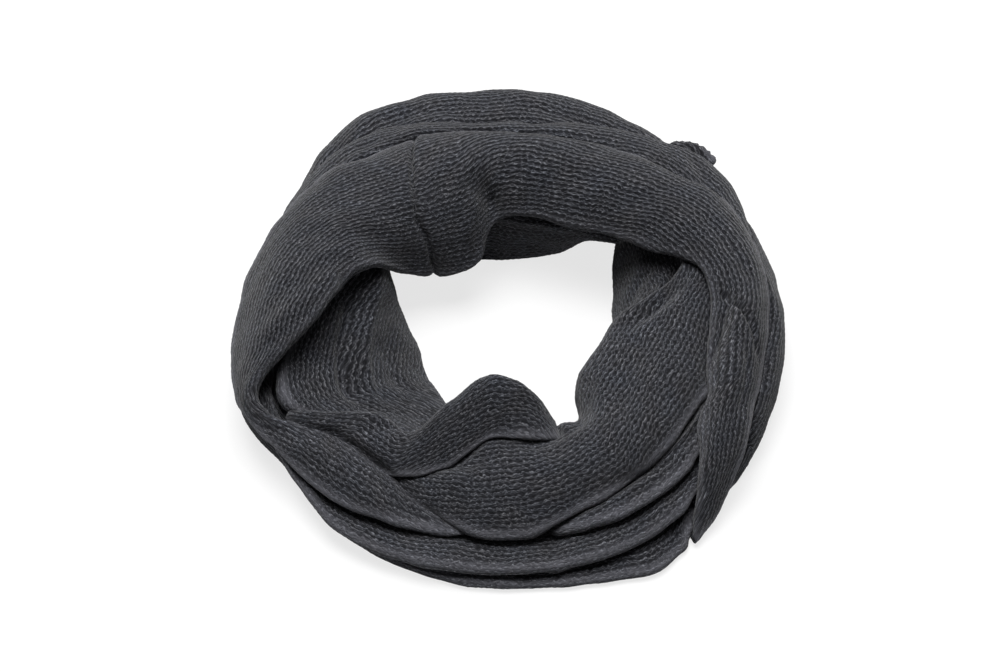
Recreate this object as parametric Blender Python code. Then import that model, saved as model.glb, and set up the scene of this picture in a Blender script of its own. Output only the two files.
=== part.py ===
"""Infinity scarf: one knitted strip, its ends joined at a seam, wound twice into a ring.

The ring lies flat. Every stretch of cloth that shows is a wall of its own, described by
a short table: each row is one cross-section, cut by an upright plane through the
ring's axis, and each pair of columns is one point of that section, as its distance
from the axis (_r) and its height (_z), in millimetres. The points run from the side of
the hole over the top to the outer side, and sections between the rows are splined.
Stretches are made from the top one down, and each one stays below a ceiling, which is
the underside of all those already laid over it. The layers that nothing shows share one
rounded solid, which fills what the ceiling leaves and is layered beside the hole.
"""

import math

import bmesh
import bpy
import numpy as np

MM = 0.001

# The axis of the bundle: a circle inside the cloth, seen from which every layer
# lies outside the one below it.
BUNDLE_R = 118.0
BUNDLE_Z = 7.0

# From the ring's axis to the middle of its outline, which is the origin.
MIDDLE_X = 1.5
MIDDLE_Y = 6.0

WALL = 3.0  # one thickness of the knitted cloth
FOLD = 7.0  # two thicknesses pressed together along a folded edge
FOLD_END = 18.0  # how far the folded part goes back from the edge
FOLD_FADE = 12.0  # the length over which it thins out
MOST_THICK = 0.45  # of a narrow section's length
CLEARANCE = 0.6  # between one layer and the next
LEAST_CLEARANCE = 0.4  # between their flat faces
FLOOR_GAP = 0.8  # under the walls that come down to the floor
EDGE_TURNS = 3  # points round each edge

TURN_STEP = 1.0  # degrees between two sections of the ceiling
LOOK_STEP = 1.0  # degrees between two directions of the ceiling
OPEN = 200.0  # no layer this way
LEAST_REACH = 1.0

SETTLE_ROUNDS = 4
SETTLE_STEPS = 8  # checks from a point to its neighbour

SAMPLES = 33  # points along a section before it is thinned to the mesh
SPLINE_STEPS = 8  # from one point of a row to the next
SMOOTHINGS = 2  # of a line that the ceiling has drawn in
TINY = 1e-9

SEAM_TURN = 128.0
SEAM_SPREAD = 34.0  # how far from the seam the courses still lean with it, in degrees
SEAM_GAP = 0.3

CLOTH = (0.055, 0.055, 0.060)
CLOTH_ROUGHNESS = 0.95


def table(columns, *rows):
    """A table with named columns: a dict of arrays."""
    return dict(zip(columns.split(), np.array(rows, float).T))


UPPER_WRAP = table(
    "turn in_r in_z face_r face_z crest_r crest_z shoulder_r shoulder_z out_r out_z",
    (-51, 169, 6, 170, 7, 171, 8, 173, 7, 175, 4),
    (-47, 161, 20, 164, 22, 167, 20, 171, 13, 174, 4),
    (-42, 148, 33, 154, 36, 160, 34, 167, 24, 170, 9),
    (-35, 137, 42, 144, 46, 151, 46, 161, 39, 167, 27),
    (-27, 131, 48, 138, 53, 146, 53, 156, 49, 162, 38),
    (-17, 123, 55, 131, 60, 140, 61, 152, 56, 161, 42),
    (-7, 119, 60, 127, 65, 137, 67, 150, 62, 160, 47),
    (4, 118, 66, 126, 71, 136, 73, 150, 68, 160, 52),
    (10, 114, 67, 122, 73, 133, 76, 149, 71, 160, 55),
    (15, 107, 66, 117, 74, 130, 78, 148, 73, 160, 57),
    (21, 95, 64, 108, 75, 125, 80, 145, 76, 159, 60),
    (28, 86, 63, 101, 76, 120, 82, 142, 78, 157, 63),
    (37, 77, 62, 92, 76, 112, 84, 132, 80, 145, 67),
    (47, 71, 61, 85, 77, 104, 86, 122, 82, 134, 70),
    (57, 66, 60, 80, 76, 98, 86, 115, 83, 127, 73),
    (70, 65, 60, 78, 77, 95, 87, 111, 84, 122, 73),
    (82, 65, 60, 78, 77, 94, 87, 110, 84, 121, 73),
    (94, 63, 57, 76, 76, 93, 87, 110, 84, 122, 73),
    (101, 57, 48, 71, 72, 91, 86, 111, 84, 124, 73),
    (107, 50, 39, 65, 68, 89, 86, 112, 84, 126, 73),
    (115, 48, 35, 62, 67, 88, 86, 114, 84, 129, 73),
    (130, 53, 32, 63, 66, 88, 86, 118, 83, 134, 72),
    (140, 60, 33, 68, 64, 92, 84, 126, 82, 142, 70),
    (148, 66, 39, 75, 66, 97, 83, 130, 80, 147, 66),
    (156, 72, 52, 84, 72, 104, 82, 133, 77, 151, 61),
    (164, 79, 66, 92, 77, 109, 81, 137, 73, 156, 54),
    (172, 89, 73, 100, 79, 115, 80, 141, 70, 160, 45),
    (183, 101, 72, 111, 76, 124, 75, 147, 62, 165, 38),
    (192, 118, 67, 127, 69, 138, 67, 155, 55, 168, 34),
    (197, 136, 60, 143, 62, 151, 60, 162, 49, 170, 33),
    (201, 156, 52, 160, 52, 164, 49, 168, 42, 171, 32),
    (204, 164, 47, 166, 46, 167, 44, 169, 39, 170, 32),
    (208, 157, 45, 160, 45, 163, 43, 166, 37, 167, 31),
    (213, 144, 45, 149, 45, 155, 42, 161, 36, 163, 29),
    (221, 128, 44, 137, 44, 146, 41, 156, 34, 161, 27),
    (234, 125, 39, 134, 39, 143, 36, 152, 30, 157, 24),
    (241, 128, 35, 135, 35, 142, 33, 149, 28, 153, 23),
    (247, 134, 30, 138, 31, 143, 29, 148, 26, 151, 22),
    (254, 139.5, 26, 142, 27, 144.5, 26, 147.5, 24, 150, 21.5),
    (259, 143, 24.2, 144.5, 24.8, 146, 24.3, 147.8, 23, 149.3, 21.5),
    (263, 146, 23, 146.8, 23.3, 147.6, 23, 148.4, 22.3, 149, 21.6),
)

FRONT_ROLL = table(
    "turn inner_r inner_z rim_r rim_z top_r top_z slope_r slope_z under_r under_z",
    (207.5, 140, 33, 142, 38, 144, 40, 146, 39, 148, 35),
    (210.5, 133, 33, 136, 42, 139, 44, 143, 42, 147, 35),
    (214, 121, 33, 124, 43, 128, 46, 136, 43, 146, 35),
    (225, 100, 34, 103, 46, 108, 49, 117, 46, 134, 39),
    (231, 98, 32, 101, 44, 106, 47, 115, 45, 133, 38),
    (237, 96, 32, 99, 43, 104, 46, 113, 44, 130, 36),
    (241, 88, 36, 92, 47, 98, 50, 108, 46, 126, 35),
    (245, 74, 40, 78, 53, 85, 56, 98, 50, 122, 35),
    (250, 63, 44, 68, 60, 75, 62, 89, 55, 114, 37),
    (256, 58, 46, 62, 64, 68, 66, 82, 59, 103, 41),
    (264, 56, 46, 60, 66, 66, 68, 77, 61, 92, 46),
    (275, 57, 44, 61, 64, 67, 65, 76, 58, 91, 47),
    (284, 63, 40, 67, 57, 72, 58, 79, 53, 92, 46),
    (288, 70, 37, 74, 48, 77, 49, 83, 48, 91, 45),
    (290, 77, 38, 80, 44, 82, 45, 85, 44, 90, 42),
)

FRONT_PANEL = table(
    "turn inner_r inner_z rim_r rim_z mid_r mid_z low_r low_z edge_r edge_z",
    (-126, 96, 26, 99, 33, 112, 34, 126, 30, 134, 24),
    (-113, 94, 28, 97, 37, 112, 37, 128, 31, 138, 23),
    (-103, 87, 30, 91, 42, 109, 41, 129, 33, 142, 22),
    (-94, 82, 28, 85, 43, 108, 43, 130, 34, 147, 22),
    (-86, 80, 28, 83, 43, 107, 44, 129, 35, 146, 22),
    (-78, 79, 28, 82, 43, 106, 45, 126, 38, 142, 25),
    (-70, 79, 26, 83, 42, 103, 46, 123, 40, 138, 29),
    (-60, 77, 22, 81, 38, 100, 47, 120, 43, 136, 32),
    (-55, 72, 22, 75, 38, 95, 48, 118, 45, 135, 34),
    (-50, 63, 24, 66, 40, 90, 49, 117, 47, 134, 35),
    (-40, 57, 26, 60, 44, 86, 51, 115, 49, 132, 38),
    (-30, 57, 28, 60, 46, 86, 53, 114, 51, 131, 41),
    (-22, 57, 30, 61, 48, 86, 54, 114, 53, 134, 44),
    (-15, 58, 31, 62, 49, 84, 54, 112, 54, 136, 46),
    (-6, 61, 34, 65, 50, 85, 55, 113, 56, 138, 50),
    (0, 69, 38, 73, 53, 91, 57, 115, 58, 138, 53),
    (5, 81, 42, 85, 56, 99, 59, 117, 60, 137, 55),
    (10, 94, 44, 98, 58, 109, 60, 122, 61, 138, 56),
    (16, 106, 44, 110, 59, 118, 60, 127, 60, 138, 55),
)

FRONT_FOLD = table(
    "turn hidden_r hidden_z top_r top_z edge_r edge_z",
    (-86, 133, 21, 137, 22, 142, 20),
    (-80, 129, 22, 137, 24, 145, 22),
    (-75, 124, 24, 136, 26, 147, 23),
    (-69, 122, 27, 136, 29, 148, 25),
    (-62, 121, 29, 136, 31, 149, 26),
    (-56, 120, 31, 136, 33, 149, 27),
    (-49, 119, 33, 136, 35, 149, 29),
    (-42, 118, 35, 135, 38, 149, 32),
    (-34, 118, 38, 135, 40, 148, 35),
    (-26, 118, 39, 133, 42, 146, 38),
)

LOWER_FRONT = table(
    "turn hidden_r hidden_z top_r top_z slope_r slope_z edge_r edge_z",
    (-160, 147, 30, 153, 33, 158, 30, 160, 25),
    (-154, 146, 24, 153, 28, 158, 27, 160, 22),
    (-149, 145, 20, 152, 23, 157, 24.5, 160, 20.5),
    (-143, 144, 18, 152, 21, 158, 23, 161, 19),
    (-135, 143, 16, 153, 19, 160, 21, 163, 17),
    (-128, 141, 14, 153, 17, 163, 19, 167, 15),
    (-120, 139, 13, 152, 16, 162, 18, 168, 14),
    (-111, 137, 13, 150, 16, 161, 17.5, 167, 14),
    (-100, 135, 13, 148, 16, 158, 17, 165, 14),
    (-85, 133, 13, 147, 16, 157, 17, 164, 14),
    (-73, 133, 14, 148, 17, 158, 18, 164, 14.5),
    (-62, 133, 15, 149, 18, 158, 19, 164, 15),
    (-54, 132, 17, 149, 20, 158, 21, 163, 17),
    (-46, 131, 20, 148, 23, 156, 24, 160, 19),
    (-38, 131, 22, 147, 27, 155, 26, 158, 21),
    (-30, 131, 24, 146, 30, 153, 29, 156, 24),
)

BACK_SECOND = table(
    "turn hidden_r hidden_z top_r top_z edge_r edge_z foot_r foot_z",
    (12, 128, 60, 142, 62, 149, 60, 153, 54),
    (19, 128, 58, 143, 61, 153, 57, 158, 48),
    (27, 128, 54, 145, 58, 160, 52, 164, 40),
    (36, 121, 54, 145, 60, 165, 56, 171, 44),
    (43, 116, 58, 143, 64, 165, 58, 173, 48),
    (53, 108, 62, 131, 70, 151, 66, 160, 56),
    (62, 103, 64, 124, 73, 141, 70, 151, 60),
    (72, 100, 65, 119, 75, 135, 72, 145, 62),
    (84, 98, 65, 116, 74, 128, 72, 139, 62),
    (96, 98, 65, 116, 74, 128, 72, 139, 62),
    (106, 100, 65, 120, 75, 134, 72, 144, 62),
    (114, 103, 65, 125, 75, 141, 71, 150, 61),
    (123, 107, 64, 132, 73, 149, 67, 157, 57),
    (133, 112, 61, 139, 69, 155, 61, 161, 51),
    (143, 117, 57, 143, 62, 156, 54, 161, 44),
    (155, 120, 51, 143, 53, 154, 45, 157, 36),
    (167, 122, 45, 142, 46, 152, 39, 155, 30),
    (174, 124, 46, 141, 44, 149, 40, 152, 33),
    (182, 126, 46, 140, 43, 145, 40, 147, 36),
)

BACK_OUTER = table(
    "turn hidden_r hidden_z top_r top_z shoulder_r shoulder_z belly_r belly_z foot_r foot_z",
    (-44, 142, 14, 151, 17, 158, 14, 161, 9, 160, 1),
    (-37, 136, 18, 147, 20, 157, 17, 163, 11, 163, 1),
    (-28, 130, 34, 144, 34, 160, 28, 165, 17, 162, 2),
    (-18, 127, 44, 148, 50, 162, 36, 166, 20, 161, 1),
    (-6, 124, 50, 148, 56, 163, 42, 167, 23, 161, 1),
    (8, 122, 56, 147, 60, 161, 47, 168, 26, 162, 1),
    (20, 120, 62, 143, 55, 158, 45, 169, 28, 163, 1),
    (32, 120, 60, 144, 55, 159, 48, 170, 29, 164, 1),
    (45, 121, 50, 144, 57, 162, 52, 170, 30, 164, 1),
    (56, 118, 47, 142, 58, 163, 53, 172, 31, 166, 1),
    (69, 115, 50, 140, 61, 166, 57, 177, 33, 170, 1),
    (81, 113, 51, 138, 62, 167, 59, 179, 34, 172, 1),
    (93, 113, 51, 138, 62, 167, 60, 179, 35, 172, 1),
    (109, 116, 50, 143, 61, 174, 58, 186, 33, 179, 1),
    (119, 120, 48, 148, 58, 177, 55, 188, 31, 181, 1),
    (128, 123, 46, 150, 54, 173, 50, 182, 29, 175, 1),
    (138, 124, 42, 148, 49, 164, 44, 171, 26, 165, 1),
    (148, 124, 38, 145, 44, 158, 39, 163, 24, 157, 1),
    (162, 125, 36, 144, 40, 153, 33, 158, 20, 153, 1),
    (180, 128, 42, 145, 38, 157, 30, 161, 17, 157, 1),
    (190, 133, 44, 150, 40, 159, 29, 163, 16, 159, 1),
    (197, 144, 28, 153, 34, 160, 26, 164, 14, 160, 1),
    (204, 142, 20, 149, 24, 155, 20, 160, 12, 157, 1),
    (211, 140, 19, 147, 19, 153, 16, 156, 10, 153, 1),
    (219, 139, 13, 148, 15, 153, 13, 155, 8, 152, 1),
    (226, 141, 11, 149, 12, 154, 11, 156, 7, 153, 1),
    (233, 143, 8, 149, 9, 154, 8, 157, 5, 154, 1),
)

BACK_INNER = table(
    "turn foot_r foot_z belly_r belly_z dip_r dip_z lip_r lip_z hidden_r hidden_z",
    (40, 90, 40, 87, 44, 88, 46, 92, 50, 106, 54),
    (47, 87, 37, 82, 42, 82, 44, 84, 49, 98, 54),
    (57, 86, 24, 79, 36, 78, 42, 78, 48, 92, 55),
    (68, 81, 9, 75, 29, 74, 41, 73, 48, 88, 56),
    (84, 78, 1, 73, 25, 73, 40, 72, 48, 86, 56),
    (98, 77, 1, 73, 25, 73, 40, 72, 48, 86, 56),
    (112, 84, 1, 80, 25, 79, 39, 78, 46, 90, 54),
    (120, 96, 1, 95, 22, 93, 36, 92, 44, 98, 52),
)

RIGHT_INNER = table(
    "turn foot_r foot_z low_r low_z mid_r mid_z top_r top_z",
    (-40, 76, 1, 77, 10, 79, 20, 84, 28),
    (-28, 70, 1, 71, 12, 74, 24, 82, 35),
    (-14, 66, 1, 67, 14, 73, 28, 84, 40),
    (0, 65, 1, 68, 16, 78, 34, 96, 48),
    (14, 67, 1, 71, 17, 84, 38, 110, 54),
    (27, 73, 1, 78, 18, 91, 39, 116, 55),
    (36, 81, 1, 86, 18, 98, 38, 119, 53),
    (44, 91, 1, 95, 17, 105, 35, 121, 49),
    (51, 106, 1, 108, 15, 114, 30, 122, 42),
)

LEFT_INNER = table(
    "turn foot_r foot_z low_r low_z ridge_r ridge_z groove_r groove_z top_r top_z",
    (132, 110, 1, 108, 14, 106, 28, 107, 40, 111, 50),
    (140, 94, 1, 94, 14, 94, 30, 98, 44, 106, 56),
    (150, 74, 1, 77, 18, 83, 38, 90, 50, 102, 62),
    (160, 62, 1, 67, 18, 78, 46, 88, 54, 103, 65),
    (168, 55, 1, 63, 16, 79, 44, 91, 50, 108, 65),
    (176, 51, 1, 61, 15, 81, 40, 95, 45, 116, 62),
    (185, 49, 1, 61, 13, 85, 37, 98, 40, 124, 58),
    (193, 48, 1, 61, 12, 88, 33, 100, 35, 137, 44),
    (198, 48, 1, 61, 12, 89, 30, 101, 32, 142, 41),
    (202, 47, 1, 61, 11, 90, 27, 101, 29, 144, 40),
    (206, 47, 1, 61, 11, 89, 25, 100, 27, 143, 38),
    (211, 47, 1, 60, 10, 87, 22, 99, 25, 132, 34),
    (218, 48, 1, 59, 9, 82, 18, 94, 22, 114, 30),
    (228, 50, 1, 60, 9, 76, 15, 88, 21, 106, 28),
    (240, 54, 1, 62, 8, 73, 13, 84, 18, 100, 25),
    (247, 65, 1, 70, 8, 77, 13, 86, 18, 98, 24),
    (252, 72, 1, 75, 8, 80, 13, 87, 18, 97, 23),
)

BOTTOM_FOLD = table(
    "turn hidden_r hidden_z top_r top_z edge_r edge_z",
    (-121, 141, 6, 153, 7, 163, 5),
    (-112, 140, 6, 154, 7, 165, 5),
    (-100, 140, 6, 155, 7, 167.5, 5),
    (-85, 140, 6, 156, 7, 168.7, 5),
    (-73, 141, 6, 158, 7.5, 172.7, 5),
    (-66, 143, 6, 161, 8, 176, 5),
    (-61, 144, 6, 164, 8, 180, 5),
    (-56, 144, 6, 162, 8, 177, 5),
    (-50, 144, 6, 159, 8, 172, 5),
    (-45, 144, 6, 155, 8, 165, 5),
)

EDGE_CORNER = table(
    "turn hidden_r hidden_z top_r top_z edge_r edge_z tip_r tip_z",
    (43, 160, 51, 168, 53, 174, 51, 176, 46),
    (46, 158, 52, 169, 53, 175, 51, 178, 46),
    (49, 156, 53, 167, 54, 174, 52, 177, 46),
    (52, 154, 53, 163, 54, 169, 52, 172, 47),
)

HIDDEN_LAYERS = table(
    "turn in_r out_r in_top mid_top out_top",
    (-180, 62, 152, 60, 70, 50),
    (-168, 60, 153, 52, 60, 42),
    (-160, 60, 152, 42, 48, 30),
    (-155, 60, 150, 38, 42, 26),
    (-140, 62, 150, 34, 38, 22),
    (-128, 63, 144, 34, 38, 24),
    (-120, 63, 138, 34, 38, 26),
    (-105, 65, 138, 34, 38, 26),
    (-90, 67, 138, 34, 40, 26),
    (-75, 71, 139, 36, 42, 26),
    (-60, 75, 140, 38, 46, 28),
    (-45, 76, 142, 44, 52, 32),
    (-36, 74, 152, 46, 56, 38),
    (-20, 74, 156, 50, 62, 46),
    (0, 76, 157, 58, 70, 52),
    (27, 84, 157, 66, 76, 56),
    (44, 102, 158, 70, 78, 56),
    (55, 126, 160, 70, 72, 58),
    (62, 112, 161, 68, 74, 58),
    (72, 92, 163, 66, 78, 60),
    (84, 84, 164, 66, 78, 60),
    (100, 84, 165, 66, 78, 60),
    (118, 100, 168, 66, 78, 58),
    (133, 116, 160, 68, 74, 54),
    (142, 100, 156, 66, 76, 50),
    (150, 84, 152, 66, 76, 48),
    (165, 68, 150, 64, 72, 44),
    (180, 62, 152, 60, 70, 50),
)

# How far round the ring the join seam lies from its mean turn, in degrees, from the
# edge by the hole to the outer edge.
SEAM_LEAN = table(
    "across lean",
    (0.00, 9.0),
    (0.38, 8.7),
    (0.57, 2.0),
    (0.68, -2.3),
    (0.85, -8.0),
    (1.00, -12.0),
)

HIDDEN_STEP = 6.0  # degrees between its sections
HIDDEN_CLEARANCE = 0.8  # between it and the walls over it
HIDDEN_BASE = 6  # points across the flat underside
HIDDEN_SIDE = 12  # points up the side by the hole
HIDDEN_OVER = 14  # points from there over the top to the outer foot
HIDDEN_EDGES = 3  # folded layers that show on the side by the hole
HIDDEN_BULGE = 2.0  # of each layer's edge
HIDDEN_SHOULDER = 0.2  # of its width
HIDDEN_LEAN = 3  # the power of the height with which that side leans back

# Each stretch with its points across, degrees between sections, and which of its two
# edges, the one by the hole and the outer one, are folded double.
UPPER_ACROSS = 10
UPPER_STEP = 6.5
UPPER_FOLDED = (True, True)
LOWER_STRETCHES = (
    ("front_roll", FRONT_ROLL, 8, 5, (False, False)),
    ("front_panel", FRONT_PANEL, 9, 6, (False, True)),
    ("front_fold", FRONT_FOLD, 5, 6, (False, True)),
    ("lower_front", LOWER_FRONT, 6, 6, (False, True)),
    ("back_second", BACK_SECOND, 6, 7, (False, True)),
    ("back_inner", BACK_INNER, 8, 8, (True, False)),
    ("edge_corner", EDGE_CORNER, 5, 4, (False, False)),
    ("back_outer", BACK_OUTER, 9, 7, (False, False)),
    ("right_inner", RIGHT_INNER, 7, 7, (False, False)),
    ("left_inner", LEFT_INNER, 9, 6, (False, True)),
    ("bottom_fold", BOTTOM_FOLD, 5, 6, (False, True)),
)


def slopes(at, values):
    """Slopes for a smooth curve through a table's rows that never overshoots them."""
    step = np.diff(at)
    rise = np.diff(values, axis=0) / step[:, None]
    out = np.empty_like(values)
    out[0], out[-1] = rise[0], rise[-1]
    before, after = rise[:-1], rise[1:]
    both = before * after
    mean = 3 * both * (step[:-1] + step[1:])[:, None]
    share = (2 * step[1:] + step[:-1])[:, None] * after
    share += (step[1:] + 2 * step[:-1])[:, None] * before
    turning = (both <= 0) | (np.abs(share) < TINY)
    out[1:-1] = np.where(turning, 0.0, mean / np.where(turning, 1.0, share))
    return out


def along(stretch, turn):
    """The values of each column but the turn at the given turns, one row a turn."""
    names = [name for name in stretch if name != "turn"]
    values = np.stack([stretch[name] for name in names], axis=1)
    at = stretch["turn"]
    slope = slopes(at, values)
    turn = np.clip(np.atleast_1d(turn), at[0], at[-1])
    row = np.clip(np.searchsorted(at, turn) - 1, 0, len(at) - 2)
    width = (at[row + 1] - at[row])[:, None]
    t = (turn - at[row])[:, None] / width
    found = (1 + 2 * t) * (1 - t) ** 2 * values[row] + t * (1 - t) ** 2 * width * slope[row]
    found += t * t * (3 - 2 * t) * values[row + 1] - t * t * (1 - t) * width * slope[row + 1]
    return found


def lengths(points):
    """The distance along a section to each of its points."""
    return np.concatenate([[0.0], np.cumsum(np.hypot(*np.diff(points, axis=0).T))])


def resampled(points, places):
    """A section's points at the given distances along it."""
    at = lengths(points)
    return np.stack([np.interp(places, at, points[:, k]) for k in (0, 1)], axis=1)


def rounded(points, count):
    """A smooth line with evenly spaced points through a few given ones."""
    ends = np.vstack([2 * points[0] - points[1], points, 2 * points[-1] - points[-2]])
    pieces = []
    t = np.linspace(0, 1, SPLINE_STEPS, endpoint=False)[:, None]
    for a, b, c, d in zip(ends[:-3], ends[1:-2], ends[2:-1], ends[3:]):
        curve = 2 * b + (c - a) * t + (2 * a - 5 * b + 4 * c - d) * t**2
        pieces.append((curve + (3 * b - a - 3 * c + d) * t**3) / 2)
    line = np.vstack([*pieces, points[-1:]])
    return resampled(line, np.linspace(0, lengths(line)[-1], count))


def outward(points):
    """The direction to the left of a section's course, away from the cloth's inner side."""
    tangent = np.gradient(points, axis=0)
    tangent /= np.hypot(*tangent.T)[:, None]
    return np.stack([-tangent[:, 1], tangent[:, 0]], axis=1)


class Ceiling:
    """How far each direction from the bundle's axis is free, all round the ring."""

    def __init__(self):
        self.turns = np.arange(0, 360, TURN_STEP)
        self.looks = np.radians(np.arange(-180, 180, LOOK_STEP))
        self.reach = np.full((len(self.turns), len(self.looks)), OPEN)
        self.low = self.reach

    def add(self, turn, loop):
        """Lowers the ceiling to the nearest side of a closed section."""
        start = loop - (BUNDLE_R, BUNDLE_Z)
        end = np.roll(start, -1, axis=0)
        ray = np.stack([np.cos(self.looks), np.sin(self.looks)], axis=1)[:, None]
        side = end - start
        cross = ray[..., 0] * side[:, 1] - ray[..., 1] * side[:, 0]
        cross = np.where(np.abs(cross) < TINY, TINY, cross)
        far = (start[:, 0] * side[:, 1] - start[:, 1] * side[:, 0]) / cross
        share = (start[:, 0] * ray[..., 1] - start[:, 1] * ray[..., 0]) / cross
        hit = (far > 0) & (share >= 0) & (share <= 1)
        nearest = np.where(hit, far, OPEN).min(axis=1)
        row = int(round(turn / TURN_STEP)) % len(self.turns)
        self.reach[row] = np.minimum(self.reach[row], nearest)

    def cover(self, kept):
        """Lowers the ceiling to the underside of a whole stretch."""
        first, last = kept[0, :, 0].min(), kept[-1, :, 0].max()
        steps = np.arange(math.floor(first / TURN_STEP), math.ceil(last / TURN_STEP) + 1)
        for turn in steps * TURN_STEP:
            self.add(turn, crossing(kept, turn))
        self.widen()

    def widen(self):
        """Takes the ceiling of each direction's neighbours into account."""
        found = self.reach
        for axis in (0, 1):
            found = np.minimum(found, np.minimum(np.roll(found, 1, axis), np.roll(found, -1, axis)))
        self.low = found

    def free(self, turn, points, clearance=CLEARANCE):
        """Section points drawn in under the ceiling."""
        low = self.low
        away = points - (BUNDLE_R, BUNDLE_Z)
        reach = np.hypot(*away.T)
        look = (np.degrees(np.arctan2(away[:, 1], away[:, 0])) + 180) / LOOK_STEP
        place = (np.zeros(len(points)) + turn) % 360 / TURN_STEP
        i, j = place.astype(int), look.astype(int) % low.shape[1]
        p, q = place - i, look % 1
        i2, j2 = (i + 1) % low.shape[0], (j + 1) % low.shape[1]
        i = i % low.shape[0]
        limit = (1 - p) * ((1 - q) * low[i, j] + q * low[i, j2])
        limit += p * ((1 - q) * low[i2, j] + q * low[i2, j2])
        share = np.minimum(1, np.maximum(limit - clearance, LEAST_REACH) / np.maximum(reach, TINY))
        return (BUNDLE_R, BUNDLE_Z) + away * share[:, None]


def at_turn(before, after, turn):
    """Distance and height where the straight line between two points passes a turn."""
    start, end = math.radians(turn - before[0]), math.radians(after[0] - turn)
    near, far = after[1] * math.sin(end), before[1] * math.sin(start)
    share = far / (near + far)
    r = before[1] * after[1] * math.sin(start + end) / (near + far)
    return r, before[2] + share * (after[2] - before[2])


def crossing(kept, turn):
    """The closed section of a stretch's flat triangles at one turn."""
    found = []
    columns = kept.transpose(1, 0, 2)
    for here, there in zip(columns, np.roll(columns, -1, axis=0)):
        place = np.clip(turn, here[0, 0], here[-1, 0])
        i = np.clip(np.searchsorted(here[:, 0], place) - 1, 0, len(here) - 2)
        found.append(at_turn(here[i], here[i + 1], place))
        if here[i, 0] < place < there[i + 1, 0]:
            found.append(at_turn(here[i], there[i + 1], place))
    return np.array(found)


def section(stretch, turn, ceiling):
    """The outer line of a stretch at one turn, under the ceiling and above the floor."""
    line = rounded(along(stretch, turn).reshape(-1, 2), SAMPLES)
    for _ in range(SMOOTHINGS):
        line = ceiling.free(turn, line)
        line[1:-1] = (line[:-2] + 2 * line[1:-1] + line[2:]) / 4
    line = ceiling.free(turn, line)
    line[:, 1] = np.maximum(line[:, 1], FLOOR_GAP)
    return resampled(line, np.linspace(0, lengths(line)[-1], SAMPLES))


def closed_section(line, across, folded):
    """The wall's closed section: outer side, rounded edge, inner side, rounded edge."""
    length = lengths(line)[-1]
    thick = [min(FOLD if fold else WALL, MOST_THICK * length) for fold in folded]
    places = np.linspace(thick[0] / 2, length - thick[1] / 2, across)
    outer = resampled(line, places)
    normal = outward(outer)
    near = [np.clip((FOLD_END - place) / FOLD_FADE, 0, 1) for place in (places, length - places)]
    body = min(WALL, *thick)
    depth = body + sum((most - body) * s * s * (3 - 2 * s) for most, s in zip(thick, near))
    inner = outer - normal * depth[:, None]
    inner[:, 1] = np.maximum(inner[:, 1], FLOOR_GAP)
    caps = []
    for end, side in ((-1, 1), (0, -1)):
        middle = (outer[end] + inner[end]) / 2
        radius = (outer[end] - inner[end]) / 2
        ahead = side * np.array([radius[1], -radius[0]])
        if (ahead * (outer[end] - outer[end - side])).sum() < 0:
            ahead = -ahead
        turn = np.pi * np.arange(1, EDGE_TURNS + 1)[:, None] / (EDGE_TURNS + 1)
        cap = middle + np.cos(turn) * radius + np.sin(turn) * ahead
        cap[:, 1] = np.maximum(cap[:, 1], FLOOR_GAP)
        caps.append(cap if end else cap[::-1])
    return np.vstack([outer, caps[0], inner[::-1], caps[1]])


def placed(points):
    """Points in metres from the origin, from their turn, distance and height."""
    return (flat_of(points) - (MIDDLE_X, MIDDLE_Y, 0)) * MM


def mesh_of(name, rings, faces):
    """An object with its faces turned outward, in the colour of the cloth."""
    mesh = bpy.data.meshes.new(name)
    mesh.from_pydata(rings.reshape(-1, 3).tolist(), [], faces)
    shape = bmesh.new()
    shape.from_mesh(mesh)
    bmesh.ops.recalc_face_normals(shape, faces=shape.faces)
    if shape.calc_volume(signed=True) < 0:
        bmesh.ops.reverse_faces(shape, faces=shape.faces)
    shape.to_mesh(mesh)
    shape.free()
    mesh.shade_smooth()
    obj = bpy.data.objects.new(name, mesh)
    bpy.context.scene.collection.objects.link(obj)
    material = bpy.data.materials.new(name)
    material.use_nodes = True
    shader = material.node_tree.nodes["Principled BSDF"]
    shader.inputs["Base Color"].default_value = (*CLOTH, 1)
    shader.inputs["Roughness"].default_value = CLOTH_ROUGHNESS
    mesh.materials.append(material)
    return obj


def side_faces(count, rings, closed=False):
    """Triangles between neighbouring rings of points."""
    faces = []
    for i in range(rings if closed else rings - 1):
        here, there = i * count, (i + 1) % rings * count
        for j in range(count):
            k = (j + 1) % count
            faces.append((here + j, here + k, there + k))
            faces.append((here + j, there + k, there + j))
    return faces


def end_faces(base, count, across):
    """Strips across one open end, from the middle of one edge to that of the other."""
    half = (EDGE_TURNS + 1) // 2
    last = 2 * across + EDGE_TURNS - 1
    pairs = [(j % count, last - j) for j in range(-half, across + half)]
    faces = []
    for (a, d), (b, c) in zip(pairs, pairs[1:]):
        corners = dict.fromkeys((a, b, c, d))
        faces.append([base + corner for corner in corners])
    return faces


def sections_of(stretch, ceiling, across, folded):
    """Closed sections of a stretch, under the ceiling, at even turns."""
    turns = np.append(np.arange(stretch["turn"][0], stretch["turn"][-1], TURN_STEP), stretch["turn"][-1])
    rings = [closed_section(section(stretch, turn, ceiling), across, folded) for turn in turns]
    return turns, np.array(rings)


def lean(turn, across):
    """How far a section drifts round the ring, since those near the join run along it."""
    near = np.clip(abs(turn - SEAM_TURN) / SEAM_SPREAD, 0, 1)
    drift = np.interp(across, SEAM_LEAN["across"], SEAM_LEAN["lean"])
    return np.cos(math.pi / 2 * near) ** 2 * drift


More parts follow.
